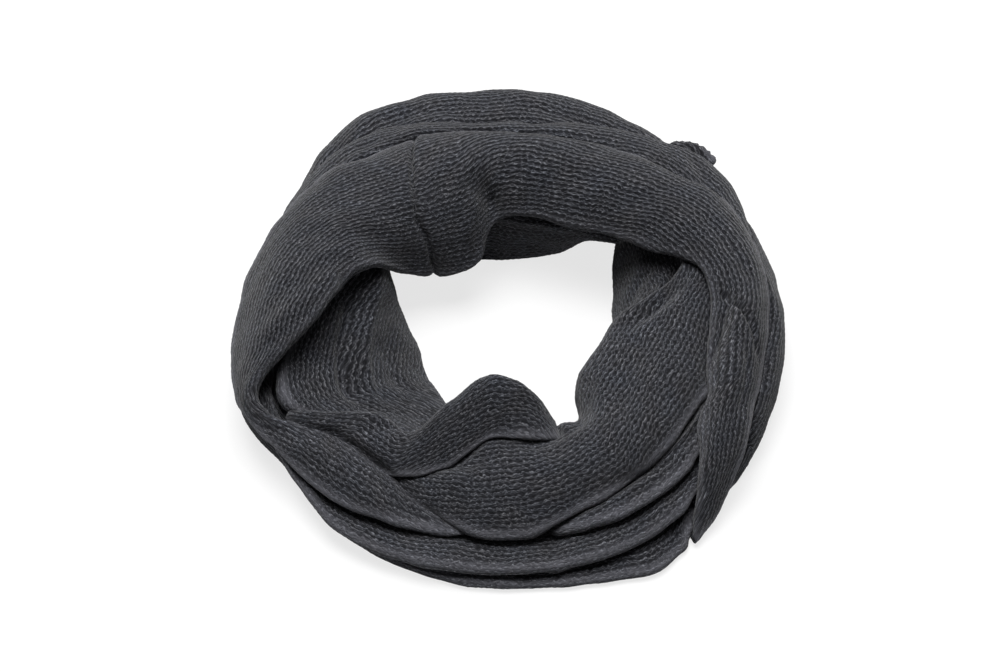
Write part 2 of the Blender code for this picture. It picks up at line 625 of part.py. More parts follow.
def picked(turns, rings, turn):
    """One point of each column of the sections, each at its own turn."""
    spots = np.arange(rings.shape[1])
    row = np.clip(np.searchsorted(turns, turn) - 1, 0, len(turns) - 2)
    t = np.clip((turn - turns[row]) / (turns[row + 1] - turns[row]), 0, 1)[:, None]
    return (1 - t) * rings[row, spots] + t * rings[row + 1, spots]


def thinned(turns, rings, across, stops, leaning=False, gap_side=0):
    """The sections that the mesh keeps: each point's turn, distance and height."""
    spots = np.linspace(0, 1, across)
    edge = np.ones(EDGE_TURNS)
    share = np.concatenate([spots, edge, spots[::-1], 0 * edge])
    kept = []
    for stop in stops:
        turn = np.full(len(share), float(stop))
        if leaning:
            turn += lean(stop, share)
        ring = picked(turns, rings, turn)
        if stop == SEAM_TURN:
            turn += gap_side * np.degrees(SEAM_GAP / 2 / ring[:, 0])
            ring = picked(turns, rings, turn)
        kept.append(np.column_stack([turn, ring]))
    return np.array(kept)


def flat_of(points):
    """Turn, distance and height made x, y and height."""
    turn, r, z = np.moveaxis(points, -1, 0)
    turn = np.radians(turn)
    return np.stack([r * np.cos(turn), r * np.sin(turn), z], axis=-1)


def polar_of(points):
    """The reverse of flat_of."""
    x, y, z = np.moveaxis(points, -1, 0)
    return np.stack([np.degrees(np.arctan2(y, x)), np.hypot(x, y), z], axis=-1)


def neighbours(points, around):
    """Each section and the one after it, all round the ring or along a stretch."""
    return (points, np.roll(points, -1, axis=0)) if around else (points[:-1], points[1:])


def settled(kept, ceiling, partners, clearance, around=False):
    """The kept points, drawn in where the faces between them would pass the ceiling."""
    kept = kept.copy()
    middle = np.array([BUNDLE_R, BUNDLE_Z])
    rows = len(kept)
    shares = np.linspace(0, 1, SETTLE_STEPS + 1)
    for _ in range(SETTLE_ROUNDS):
        share = np.ones(kept.shape[:2])
        here, there = neighbours(flat_of(kept), around)
        row = np.arange(len(here))
        here_next, there_next = np.roll(here, -1, axis=1), np.roll(there, -1, axis=1)
        for t in shares:
            for u in shares[:-1]:
                if u >= t:
                    spot = here + u * (here_next - here) + t * (there_next - here_next)
                else:
                    spot = here + t * (there - here) + u * (there_next - there)
                left = kept_share(ceiling, polar_of(spot), clearance)
                both = left if u == 0 else np.minimum(left, np.roll(left, 1, axis=1))
                both = np.minimum(both, both[:, partners])
                if t < 1:
                    share[row] = np.minimum(share[row], both)
                if t > 0:
                    share[(row + 1) % rows] = np.minimum(share[(row + 1) % rows], both)
        kept[:, :, 1:] = middle + (kept[:, :, 1:] - middle) * share[:, :, None]
    return kept


def kept_share(ceiling, spots, clearance):
    """The share of its distance from the bundle's axis that each point may keep."""
    flat = spots.reshape(-1, 3)
    middle = (BUNDLE_R, BUNDLE_Z)
    drawn = ceiling.free(flat[:, 0], flat[:, 1:], clearance)
    away = np.hypot(*(flat[:, 1:] - middle).T)
    return (np.hypot(*(drawn - middle).T) / np.maximum(away, TINY)).reshape(spots.shape[:2])


def wall(name, kept, across):
    """A stretch of cloth as one closed body."""
    count = kept.shape[1]
    faces = side_faces(count, len(kept))
    faces += end_faces(0, count, across)
    faces += end_faces((len(kept) - 1) * count, count, across)
    return mesh_of(name, placed(kept), faces)


def hidden_layers(ceiling):
    """The rounded ring that stands for the layers nothing shows, flat on the surface."""
    rings = []
    for turn in np.arange(0, 360, HIDDEN_STEP):
        place = (turn + 180) % 360 - 180
        in_r, out_r, in_top, mid_top, out_top = along(HIDDEN_LAYERS, place)[0]
        width = out_r - in_r
        under = np.linspace(out_r, in_r, HIDDEN_BASE)[1:-1]
        shoulder = HIDDEN_SHOULDER * width
        up = np.linspace(0, 1, HIDDEN_SIDE, endpoint=False)
        leaning = in_r + shoulder * up**HIDDEN_LEAN
        edges = HIDDEN_BULGE * np.abs(np.sin(math.pi * HIDDEN_EDGES * up))
        side = np.stack([leaning - edges, in_top * up], axis=1)
        corners = [
            (in_r + shoulder, in_top),
            (in_r + width / 2, mid_top),
            (out_r - shoulder, out_top),
            (out_r + HIDDEN_BULGE, out_top / 2),
            (out_r, 0),
        ]
        over = np.vstack([side, rounded(np.array(corners), HIDDEN_OVER)])
        over = ceiling.free(turn, over, HIDDEN_CLEARANCE)
        over[[0, -1], 1] = 0
        ring = np.vstack([over, np.stack([under, 0 * under], axis=1)])
        rings.append(np.column_stack([np.full(len(ring), turn), ring]))
    rings = np.array(rings)
    flat = np.zeros(rings.shape[1], bool)
    flat[[0, *range(HIDDEN_SIDE + HIDDEN_OVER - 1, rings.shape[1])]] = True
    rings = settled(rings, ceiling, np.arange(rings.shape[1]), HIDDEN_CLEARANCE, around=True)
    rings[:, :, 2] = np.where(flat, 0, np.maximum(rings[:, :, 2], 0))
    faces = side_faces(rings.shape[1], len(rings), closed=True)
    return mesh_of("hidden_layers", placed(rings), faces)


def stops(first, last, step):
    """Turns of the sections kept, about one step apart."""
    return np.linspace(first, last, max(2, round((last - first) / step) + 1))


def main():
    for obj in list(bpy.data.objects):
        bpy.data.objects.remove(obj)
    ceiling = Ceiling()
    turns, rings = sections_of(UPPER_WRAP, ceiling, UPPER_ACROSS, UPPER_FOLDED)
    before_seam = stops(turns[0], SEAM_TURN, UPPER_STEP)
    after_seam = stops(SEAM_TURN, turns[-1], UPPER_STEP)
    right = thinned(turns, rings, UPPER_ACROSS, before_seam, leaning=True, gap_side=-1)
    left = thinned(turns, rings, UPPER_ACROSS, after_seam, leaning=True, gap_side=1)
    wall("upper_wrap_right", right, UPPER_ACROSS)
    wall("upper_wrap_left", left, UPPER_ACROSS)
    ceiling.cover(right)
    ceiling.cover(left)
    for name, stretch, across, step, folded in LOWER_STRETCHES:
        turns, rings = sections_of(stretch, ceiling, across, folded)
        kept = thinned(turns, rings, across, stops(turns[0], turns[-1], step))
        count = kept.shape[1]
        partners = (2 * across + EDGE_TURNS - 1 - np.arange(count)) % count
        kept = settled(kept, ceiling, partners, LEAST_CLEARANCE)
        kept[:, :, 2] = np.maximum(kept[:, :, 2], FLOOR_GAP)
        wall(name, kept, across)
        ceiling.cover(kept)
    hidden_layers(ceiling)


main()
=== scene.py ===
# %% [markdown]
# # A knitted infinity scarf
# One knitted strip with its ends joined at a seam is wound twice into a ring and laid
# flat. The CAD part gives each stretch of cloth that shows as a plain wall. Here each
# wall is rebuilt from the same tables, as a fine grid that carries the knit: rows of
# stitches, soft creases, the sewn seam and heathered yarn.

import math

import bpy
import numpy as np
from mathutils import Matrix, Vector


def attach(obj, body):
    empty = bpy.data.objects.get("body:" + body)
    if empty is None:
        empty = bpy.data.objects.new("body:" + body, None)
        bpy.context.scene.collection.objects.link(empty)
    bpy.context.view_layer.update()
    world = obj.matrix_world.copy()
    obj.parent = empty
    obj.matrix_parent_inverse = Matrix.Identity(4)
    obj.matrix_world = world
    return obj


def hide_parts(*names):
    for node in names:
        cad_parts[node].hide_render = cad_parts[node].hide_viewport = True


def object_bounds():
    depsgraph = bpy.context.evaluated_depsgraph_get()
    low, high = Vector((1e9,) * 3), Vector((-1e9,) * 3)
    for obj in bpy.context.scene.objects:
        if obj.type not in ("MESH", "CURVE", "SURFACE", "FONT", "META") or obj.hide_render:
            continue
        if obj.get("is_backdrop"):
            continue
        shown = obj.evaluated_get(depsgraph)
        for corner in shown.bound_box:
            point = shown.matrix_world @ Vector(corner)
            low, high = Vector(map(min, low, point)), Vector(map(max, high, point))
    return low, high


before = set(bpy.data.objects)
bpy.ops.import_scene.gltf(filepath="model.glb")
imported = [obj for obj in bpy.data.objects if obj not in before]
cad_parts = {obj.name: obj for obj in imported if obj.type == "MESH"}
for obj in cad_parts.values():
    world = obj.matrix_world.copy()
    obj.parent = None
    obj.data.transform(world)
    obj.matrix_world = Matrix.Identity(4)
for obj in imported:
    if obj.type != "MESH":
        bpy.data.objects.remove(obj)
cad_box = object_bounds()
print("nodes:", ", ".join(sorted(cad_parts)))

# %% [markdown]
# ## The measured facts
# Lengths are in millimetres until a mesh is made. Places on the ring are told as a turn
# in degrees, a distance from the ring's upright axis and a height. That axis stands a
# little off the middle of the outline, which is the origin. The bundle's axis is a
# circle inside the cloth: seen from it, every layer lies outside the one below it.

# %% Sizes of the ring and the cloth
MM = 0.001
BUNDLE_R = 118.0
BUNDLE_Z = 7.0
MIDDLE_X = 1.5
MIDDLE_Y = 6.0
WALL = 3.0
FOLD = 7.0
FOLD_END = 18.0
FOLD_FADE = 12.0
MOST_THICK = 0.45
CLEARANCE = 0.6
FLOOR_GAP = 0.8
OPEN = 200.0
TINY = 1e-9
print(f"wall {WALL} mm, folded edge {FOLD} mm")

# %% [markdown]
# ## The sections, as tables
# Each row is one cross-section of a stretch, cut by an upright plane through the ring's
# axis. Each pair of columns is one point of it, as its distance from the axis (_r) and
# its height (_z). The points run from the side of the hole over the top to the outer
# side. Some forty rows are enough for the longest stretch, because smooth lines are
# drawn through them: that is quicker to mend than a sculpted mesh, and it gives the same
# shape each run. The last two tables differ: one has the hidden layers' two sides and
# three heights, the other how far the seam leans round the ring at each share across.


# %% The upper turn of the scarf
def table(columns, *rows):
    """A table with named columns: a dict of arrays."""
    return dict(zip(columns.split(), np.array(rows, float).T))


UPPER_WRAP = table(
    "turn in_r in_z face_r face_z crest_r crest_z shoulder_r shoulder_z out_r out_z",
    (-51, 169, 6, 170, 7, 171, 8, 173, 7, 175, 4),
    (-47, 161, 20, 164, 22, 167, 20, 171, 13, 174, 4),
    (-42, 148, 33, 154, 36, 160, 34, 167, 24, 170, 9),
    (-35, 137, 42, 144, 46, 151, 46, 161, 39, 167, 27),
    (-27, 131, 48, 138, 53, 146, 53, 156, 49, 162, 38),
    (-17, 123, 55, 131, 60, 140, 61, 152, 56, 161, 42),
    (-7, 119, 60, 127, 65, 137, 67, 150, 62, 160, 47),
    (4, 118, 66, 126, 71, 136, 73, 150, 68, 160, 52),
    (10, 114, 67, 122, 73, 133, 76, 149, 71, 160, 55),
    (15, 107, 66, 117, 74, 130, 78, 148, 73, 160, 57),
    (21, 95, 64, 108, 75, 125, 80, 145, 76, 159, 60),
    (28, 86, 63, 101, 76, 120, 82, 142, 78, 157, 63),
    (37, 77, 62, 92, 76, 112, 84, 132, 80, 145, 67),
    (47, 71, 61, 85, 77, 104, 86, 122, 82, 134, 70),
    (57, 66, 60, 80, 76, 98, 86, 115, 83, 127, 73),
    (70, 65, 60, 78, 77, 95, 87, 111, 84, 122, 73),
    (82, 65, 60, 78, 77, 94, 87, 110, 84, 121, 73),
    (94, 63, 57, 76, 76, 93, 87, 110, 84, 122, 73),
    (101, 57, 48, 71, 72, 91, 86, 111, 84, 124, 73),
    (107, 50, 39, 65, 68, 89, 86, 112, 84, 126, 73),
    (115, 48, 35, 62, 67, 88, 86, 114, 84, 129, 73),
    (130, 53, 32, 63, 66, 88, 86, 118, 83, 134, 72),
    (140, 60, 33, 68, 64, 92, 84, 126, 82, 142, 70),
    (148, 66, 39, 75, 66, 97, 83, 130, 80, 147, 66),
    (156, 72, 52, 84, 72, 104, 82, 133, 77, 151, 61),
    (164, 79, 66, 92, 77, 109, 81, 137, 73, 156, 54),
    (172, 89, 73, 100, 79, 115, 80, 141, 70, 160, 45),
    (183, 101, 72, 111, 76, 124, 75, 147, 62, 165, 38),
    (192, 118, 67, 127, 69, 138, 67, 155, 55, 168, 34),
    (197, 136, 60, 143, 62, 151, 60, 162, 49, 170, 33),
    (201, 156, 52, 160, 52, 164, 49, 168, 42, 171, 32),
    (204, 164, 47, 166, 46, 167, 44, 169, 39, 170, 32),
    (208, 157, 45, 160, 45, 163, 43, 166, 37, 167, 31),
    (213, 144, 45, 149, 45, 155, 42, 161, 36, 163, 29),
    (221, 128, 44, 137, 44, 146, 41, 156, 34, 161, 27),
    (234, 125, 39, 134, 39, 143, 36, 152, 30, 157, 24),
    (241, 128, 35, 135, 35, 142, 33, 149, 28, 153, 23),
    (247, 134, 30, 138, 31, 143, 29, 148, 26, 151, 22),
    (254, 139.5, 26, 142, 27, 144.5, 26, 147.5, 24, 150, 21.5),
    (259, 143, 24.2, 144.5, 24.8, 146, 24.3, 147.8, 23, 149.3, 21.5),
    (263, 146, 23, 146.8, 23.3, 147.6, 23, 148.4, 22.3, 149, 21.6),
)
print("tables:", "upper_wrap")

# %% The front layers
FRONT_ROLL = table(
    "turn inner_r inner_z rim_r rim_z top_r top_z slope_r slope_z under_r under_z",
    (207.5, 140, 33, 142, 38, 144, 40, 146, 39, 148, 35),
    (210.5, 133, 33, 136, 42, 139, 44, 143, 42, 147, 35),
    (214, 121, 33, 124, 43, 128, 46, 136, 43, 146, 35),
    (225, 100, 34, 103, 46, 108, 49, 117, 46, 134, 39),
    (231, 98, 32, 101, 44, 106, 47, 115, 45, 133, 38),
    (237, 96, 32, 99, 43, 104, 46, 113, 44, 130, 36),
    (241, 88, 36, 92, 47, 98, 50, 108, 46, 126, 35),
    (245, 74, 40, 78, 53, 85, 56, 98, 50, 122, 35),
    (250, 63, 44, 68, 60, 75, 62, 89, 55, 114, 37),
    (256, 58, 46, 62, 64, 68, 66, 82, 59, 103, 41),
    (264, 56, 46, 60, 66, 66, 68, 77, 61, 92, 46),
    (275, 57, 44, 61, 64, 67, 65, 76, 58, 91, 47),
    (284, 63, 40, 67, 57, 72, 58, 79, 53, 92, 46),
    (288, 70, 37, 74, 48, 77, 49, 83, 48, 91, 45),
    (290, 77, 38, 80, 44, 82, 45, 85, 44, 90, 42),
)

FRONT_PANEL = table(
    "turn inner_r inner_z rim_r rim_z mid_r mid_z low_r low_z edge_r edge_z",
    (-126, 96, 26, 99, 33, 112, 34, 126, 30, 134, 24),
    (-113, 94, 28, 97, 37, 112, 37, 128, 31, 138, 23),
    (-103, 87, 30, 91, 42, 109, 41, 129, 33, 142, 22),
    (-94, 82, 28, 85, 43, 108, 43, 130, 34, 147, 22),
    (-86, 80, 28, 83, 43, 107, 44, 129, 35, 146, 22),
    (-78, 79, 28, 82, 43, 106, 45, 126, 38, 142, 25),
    (-70, 79, 26, 83, 42, 103, 46, 123, 40, 138, 29),
    (-60, 77, 22, 81, 38, 100, 47, 120, 43, 136, 32),
    (-55, 72, 22, 75, 38, 95, 48, 118, 45, 135, 34),
    (-50, 63, 24, 66, 40, 90, 49, 117, 47, 134, 35),
    (-40, 57, 26, 60, 44, 86, 51, 115, 49, 132, 38),
    (-30, 57, 28, 60, 46, 86, 53, 114, 51, 131, 41),
    (-22, 57, 30, 61, 48, 86, 54, 114, 53, 134, 44),
    (-15, 58, 31, 62, 49, 84, 54, 112, 54, 136, 46),
    (-6, 61, 34, 65, 50, 85, 55, 113, 56, 138, 50),
    (0, 69, 38, 73, 53, 91, 57, 115, 58, 138, 53),
    (5, 81, 42, 85, 56, 99, 59, 117, 60, 137, 55),
    (10, 94, 44, 98, 58, 109, 60, 122, 61, 138, 56),
    (16, 106, 44, 110, 59, 118, 60, 127, 60, 138, 55),
)

FRONT_FOLD = table(
    "turn hidden_r hidden_z top_r top_z edge_r edge_z",
    (-86, 133, 21, 137, 22, 142, 20),
    (-80, 129, 22, 137, 24, 145, 22),
    (-75, 124, 24, 136, 26, 147, 23),
    (-69, 122, 27, 136, 29, 148, 25),
    (-62, 121, 29, 136, 31, 149, 26),
    (-56, 120, 31, 136, 33, 149, 27),
    (-49, 119, 33, 136, 35, 149, 29),
    (-42, 118, 35, 135, 38, 149, 32),
    (-34, 118, 38, 135, 40, 148, 35),
    (-26, 118, 39, 133, 42, 146, 38),
)

LOWER_FRONT = table(
    "turn hidden_r hidden_z top_r top_z slope_r slope_z edge_r edge_z",
    (-160, 147, 30, 153, 33, 158, 30, 160, 25),
    (-154, 146, 24, 153, 28, 158, 27, 160, 22),
    (-149, 145, 20, 152, 23, 157, 24.5, 160, 20.5),
    (-143, 144, 18, 152, 21, 158, 23, 161, 19),
    (-135, 143, 16, 153, 19, 160, 21, 163, 17),
    (-128, 141, 14, 153, 17, 163, 19, 167, 15),
    (-120, 139, 13, 152, 16, 162, 18, 168, 14),
    (-111, 137, 13, 150, 16, 161, 17.5, 167, 14),
    (-100, 135, 13, 148, 16, 158, 17, 165, 14),
    (-85, 133, 13, 147, 16, 157, 17, 164, 14),
    (-73, 133, 14, 148, 17, 158, 18, 164, 14.5),
    (-62, 133, 15, 149, 18, 158, 19, 164, 15),
    (-54, 132, 17, 149, 20, 158, 21, 163, 17),
    (-46, 131, 20, 148, 23, 156, 24, 160, 19),
    (-38, 131, 22, 147, 27, 155, 26, 158, 21),
    (-30, 131, 24, 146, 30, 153, 29, 156, 24),
)

BOTTOM_FOLD = table(
    "turn hidden_r hidden_z top_r top_z edge_r edge_z",
    (-121, 141, 6, 153, 7, 163, 5),
    (-112, 140, 6, 154, 7, 165, 5),
    (-100, 140, 6, 155, 7, 167.5, 5),
    (-85, 140, 6, 156, 7, 168.7, 5),
    (-73, 141, 6, 158, 7.5, 172.7, 5),
    (-66, 143, 6, 161, 8, 176, 5),
    (-61, 144, 6, 164, 8, 180, 5),
    (-56, 144, 6, 162, 8, 177, 5),
    (-50, 144, 6, 159, 8, 172, 5),
    (-45, 144, 6, 155, 8, 165, 5),
)
print("tables:", "front_roll, front_panel, front_fold, lower_front, bottom_fold")

# %% The back layers
BACK_SECOND = table(
    "turn hidden_r hidden_z top_r top_z edge_r edge_z foot_r foot_z",
    (12, 128, 60, 142, 62, 149, 60, 153, 54),
    (19, 128, 58, 143, 61, 153, 57, 158, 48),
    (27, 128, 54, 145, 58, 160, 52, 164, 40),
    (36, 121, 54, 145, 60, 165, 56, 171, 44),
    (43, 116, 58, 143, 64, 165, 58, 173, 48),
    (53, 108, 62, 131, 70, 151, 66, 160, 56),
    (62, 103, 64, 124, 73, 141, 70, 151, 60),
    (72, 100, 65, 119, 75, 135, 72, 145, 62),
    (84, 98, 65, 116, 74, 128, 72, 139, 62),
    (96, 98, 65, 116, 74, 128, 72, 139, 62),
    (106, 100, 65, 120, 75, 134, 72, 144, 62),
    (114, 103, 65, 125, 75, 141, 71, 150, 61),
    (123, 107, 64, 132, 73, 149, 67, 157, 57),
    (133, 112, 61, 139, 69, 155, 61, 161, 51),
    (143, 117, 57, 143, 62, 156, 54, 161, 44),
    (155, 120, 51, 143, 53, 154, 45, 157, 36),
    (167, 122, 45, 142, 46, 152, 39, 155, 30),
    (174, 124, 46, 141, 44, 149, 40, 152, 33),
    (182, 126, 46, 140, 43, 145, 40, 147, 36),
)

BACK_OUTER = table(
    "turn hidden_r hidden_z top_r top_z shoulder_r shoulder_z belly_r belly_z foot_r foot_z",
    (-44, 142, 14, 151, 17, 158, 14, 161, 9, 160, 1),
    (-37, 136, 18, 147, 20, 157, 17, 163, 11, 163, 1),
    (-28, 130, 34, 144, 34, 160, 28, 165, 17, 162, 2),
    (-18, 127, 44, 148, 50, 162, 36, 166, 20, 161, 1),
    (-6, 124, 50, 148, 56, 163, 42, 167, 23, 161, 1),
    (8, 122, 56, 147, 60, 161, 47, 168, 26, 162, 1),
    (20, 120, 62, 143, 55, 158, 45, 169, 28, 163, 1),
    (32, 120, 60, 144, 55, 159, 48, 170, 29, 164, 1),
    (45, 121, 50, 144, 57, 162, 52, 170, 30, 164, 1),
    (56, 118, 47, 142, 58, 163, 53, 172, 31, 166, 1),
    (69, 115, 50, 140, 61, 166, 57, 177, 33, 170, 1),
    (81, 113, 51, 138, 62, 167, 59, 179, 34, 172, 1),
    (93, 113, 51, 138, 62, 167, 60, 179, 35, 172, 1),
    (109, 116, 50, 143, 61, 174, 58, 186, 33, 179, 1),
    (119, 120, 48, 148, 58, 177, 55, 188, 31, 181, 1),
    (128, 123, 46, 150, 54, 173, 50, 182, 29, 175, 1),
    (138, 124, 42, 148, 49, 164, 44, 171, 26, 165, 1),
    (148, 124, 38, 145, 44, 158, 39, 163, 24, 157, 1),
    (162, 125, 36, 144, 40, 153, 33, 158, 20, 153, 1),
    (180, 128, 42, 145, 38, 157, 30, 161, 17, 157, 1),
    (190, 133, 44, 150, 40, 159, 29, 163, 16, 159, 1),
    (197, 144, 28, 153, 34, 160, 26, 164, 14, 160, 1),
    (204, 142, 20, 149, 24, 155, 20, 160, 12, 157, 1),
    (211, 140, 19, 147, 19, 153, 16, 156, 10, 153, 1),
    (219, 139, 13, 148, 15, 153, 13, 155, 8, 152, 1),
    (226, 141, 11, 149, 12, 154, 11, 156, 7, 153, 1),
    (233, 143, 8, 149, 9, 154, 8, 157, 5, 154, 1),
)

BACK_INNER = table(
    "turn foot_r foot_z belly_r belly_z dip_r dip_z lip_r lip_z hidden_r hidden_z",
    (40, 90, 40, 87, 44, 88, 46, 92, 50, 106, 54),
    (47, 87, 37, 82, 42, 82, 44, 84, 49, 98, 54),
    (57, 86, 24, 79, 36, 78, 42, 78, 48, 92, 55),
    (68, 81, 9, 75, 29, 74, 41, 73, 48, 88, 56),
    (84, 78, 1, 73, 25, 73, 40, 72, 48, 86, 56),
    (98, 77, 1, 73, 25, 73, 40, 72, 48, 86, 56),
    (112, 84, 1, 80, 25, 79, 39, 78, 46, 90, 54),
    (120, 96, 1, 95, 22, 93, 36, 92, 44, 98, 52),
)

EDGE_CORNER = table(
    "turn hidden_r hidden_z top_r top_z edge_r edge_z tip_r tip_z",
    (43, 160, 51, 168, 53, 174, 51, 176, 46),
    (46, 158, 52, 169, 53, 175, 51, 178, 46),
    (49, 156, 53, 167, 54, 174, 52, 177, 46),
    (52, 154, 53, 163, 54, 169, 52, 172, 47),
)
print("tables:", "back_second, back_outer, back_inner, edge_corner")

# %% The sides of the hole
RIGHT_INNER = table(
    "turn foot_r foot_z low_r low_z mid_r mid_z top_r top_z",
    (-40, 76, 1, 77, 10, 79, 20, 84, 28),
    (-28, 70, 1, 71, 12, 74, 24, 82, 35),
    (-14, 66, 1, 67, 14, 73, 28, 84, 40),
    (0, 65, 1, 68, 16, 78, 34, 96, 48),
    (14, 67, 1, 71, 17, 84, 38, 110, 54),
    (27, 73, 1, 78, 18, 91, 39, 116, 55),
    (36, 81, 1, 86, 18, 98, 38, 119, 53),
    (44, 91, 1, 95, 17, 105, 35, 121, 49),
    (51, 106, 1, 108, 15, 114, 30, 122, 42),
)

LEFT_INNER = table(
    "turn foot_r foot_z low_r low_z ridge_r ridge_z groove_r groove_z top_r top_z",
    (132, 110, 1, 108, 14, 106, 28, 107, 40, 111, 50),
    (140, 94, 1, 94, 14, 94, 30, 98, 44, 106, 56),
    (150, 74, 1, 77, 18, 83, 38, 90, 50, 102, 62),
    (160, 62, 1, 67, 18, 78, 46, 88, 54, 103, 65),
    (168, 55, 1, 63, 16, 79, 44, 91, 50, 108, 65),
    (176, 51, 1, 61, 15, 81, 40, 95, 45, 116, 62),
    (185, 49, 1, 61, 13, 85, 37, 98, 40, 124, 58),
    (193, 48, 1, 61, 12, 88, 33, 100, 35, 137, 44),
    (198, 48, 1, 61, 12, 89, 30, 101, 32, 142, 41),
    (202, 47, 1, 61, 11, 90, 27, 101, 29, 144, 40),
    (206, 47, 1, 61, 11, 89, 25, 100, 27, 143, 38),
    (211, 47, 1, 60, 10, 87, 22, 99, 25, 132, 34),
    (218, 48, 1, 59, 9, 82, 18, 94, 22, 114, 30),
    (228, 50, 1, 60, 9, 76, 15, 88, 21, 106, 28),
    (240, 54, 1, 62, 8, 73, 13, 84, 18, 100, 25),
    (247, 65, 1, 70, 8, 77, 13, 86, 18, 98, 24),
    (252, 72, 1, 75, 8, 80, 13, 87, 18, 97, 23),
)
print("tables:", "right_inner, left_inner")

# %% The hidden layers and the seam's lean
HIDDEN_LAYERS = table(
    "turn in_r out_r in_top mid_top out_top",
    (-180, 62, 152, 60, 70, 50),
    (-168, 60, 153, 52, 60, 42),
    (-160, 60, 152, 42, 48, 30),
    (-155, 60, 150, 38, 42, 26),
    (-140, 62, 150, 34, 38, 22),
    (-128, 63, 144, 34, 38, 24),
    (-120, 63, 138, 34, 38, 26),
    (-105, 65, 138, 34, 38, 26),
    (-90, 67, 138, 34, 40, 26),
    (-75, 71, 139, 36, 42, 26),
    (-60, 75, 140, 38, 46, 28),
    (-45, 76, 142, 44, 52, 32),
    (-36, 74, 152, 46, 56, 38),
    (-20, 74, 156, 50, 62, 46),
    (0, 76, 157, 58, 70, 52),
    (27, 84, 157, 66, 76, 56),
    (44, 102, 158, 70, 78, 56),
    (55, 126, 160, 70, 72, 58),
    (62, 112, 161, 68, 74, 58),
    (72, 92, 163, 66, 78, 60),
    (84, 84, 164, 66, 78, 60),
    (100, 84, 165, 66, 78, 60),
    (118, 100, 168, 66, 78, 58),
    (133, 116, 160, 68, 74, 54),
    (142, 100, 156, 66, 76, 50),
    (150, 84, 152, 66, 76, 48),
    (165, 68, 150, 64, 72, 44),
    (180, 62, 152, 60, 70, 50),
)

SEAM_LEAN = table(
    "across lean",
    (0.00, 9.0),
    (0.38, 8.7),
    (0.57, 2.0),
    (0.68, -2.3),
    (0.85, -8.0),
    (1.00, -12.0),
)
print("tables:", "hidden_layers, seam_lean")

# %% [markdown]
# ## Smooth lines through the tables
# Cloth has no corners, so nothing is joined with straight lines. Along the ring each
# column of a table becomes a curve that never overshoots its rows, which keeps layers
# from cutting into each other. Across it, a Catmull-Rom curve rounds each section.


# %% Lines along the ring
def slopes(at, values):
    """
    The slope at each row: the weighted harmonic mean of the rises beside it, or nought
    where the values turn.
    """
    step = np.diff(at)
    rise = np.diff(values, axis=0) / step[:, None]
    out = np.empty_like(values)
    out[0], out[-1] = rise[0], rise[-1]
    before, after = rise[:-1], rise[1:]
    both = before * after
    mean = 3 * both * (step[:-1] + step[1:])[:, None]
    share = (2 * step[1:] + step[:-1])[:, None] * after
    share += (step[1:] + 2 * step[:-1])[:, None] * before
    turning = (both <= 0) | (np.abs(share) < TINY)
    out[1:-1] = np.where(turning, 0.0, mean / np.where(turning, 1.0, share))
    return out


def along(stretch, turn):
    """A table's values at the given turns: between two rows, the cubic with their slopes."""
    names = [name for name in stretch if name != "turn"]
    values = np.stack([stretch[name] for name in names], axis=1)
    at = stretch["turn"]
    slope = slopes(at, values)
    turn = np.clip(np.atleast_1d(turn), at[0], at[-1])
    row = np.clip(np.searchsorted(at, turn) - 1, 0, len(at) - 2)
    width = (at[row + 1] - at[row])[:, None]
    t = (turn - at[row])[:, None] / width
    found = (1 + 2 * t) * (1 - t) ** 2 * values[row] + t * (1 - t) ** 2 * width * slope[row]
    found += t * t * (3 - 2 * t) * values[row + 1] - t * t * (1 - t) * width * slope[row + 1]
    return found


print("the upper turn at the back:", along(UPPER_WRAP, 90)[0].round(1))

# %% Lines across a section
SPLINE_STEPS = 8
SAMPLES = 33


def steps(points, axis):
    """The distance from each point to the next one along an axis of the array."""
    return np.sqrt((np.diff(points, axis=axis) ** 2).sum(axis=-1))


def lengths(lines):
    """The distance along each line to each of its points: the sum of its steps so far."""
    step = steps(lines, -2)
    return np.concatenate([np.zeros(step.shape[:-1] + (1,)), np.cumsum(step, axis=-1)], axis=-1)


def resampled(lines, places):
    """Points at the given distances along each line, straight between its own points."""
    at = lengths(lines)
    row = (at[..., None, :] <= places[..., :, None]).sum(axis=-1) - 1
    row = np.clip(row, 0, lines.shape[-2] - 2)
    start = np.take_along_axis(at, row, -1)
    end = np.take_along_axis(at, row + 1, -1)
    t = ((places - start) / np.maximum(end - start, TINY))[..., None]
    near = np.take_along_axis(lines, row[..., None], -2)
    far = np.take_along_axis(lines, row[..., None] + 1, -2)
    return near + np.clip(t, 0, 1) * (far - near)


def cubic(a, b, c, d, t):
    """The Catmull-Rom cubic from b to c at the share t: its slopes are half c - a and half d - b."""
    curve = 2 * b + (c - a) * t + (2 * a - 5 * b + 4 * c - d) * t**2
    return (curve + (3 * b - a - 3 * c + d) * t**3) / 2


def splined(points, before, after):
    """A Catmull-Rom curve through each line's points."""
    ends = np.concatenate([before, points, after], axis=-2)[..., None, :]
    t = np.linspace(0, 1, SPLINE_STEPS, endpoint=False)[:, None]
    count = points.shape[-2] - 1
    curve = cubic(*(ends[..., first : first + count, :, :] for first in range(4)), t)
    flat = curve.reshape(curve.shape[:-3] + (-1, curve.shape[-1]))
    return np.concatenate([flat, points[..., -1:, :]], axis=-2)


def rounded(points, count):
    """Evenly spaced points on the curve through a few given ones."""
    first = 2 * points[..., :1, :] - points[..., 1:2, :]
    last = 2 * points[..., -1:, :] - points[..., -2:-1, :]
    line = splined(points, first, last)
    return resampled(line, lengths(line)[..., -1:] * np.linspace(0, 1, count))


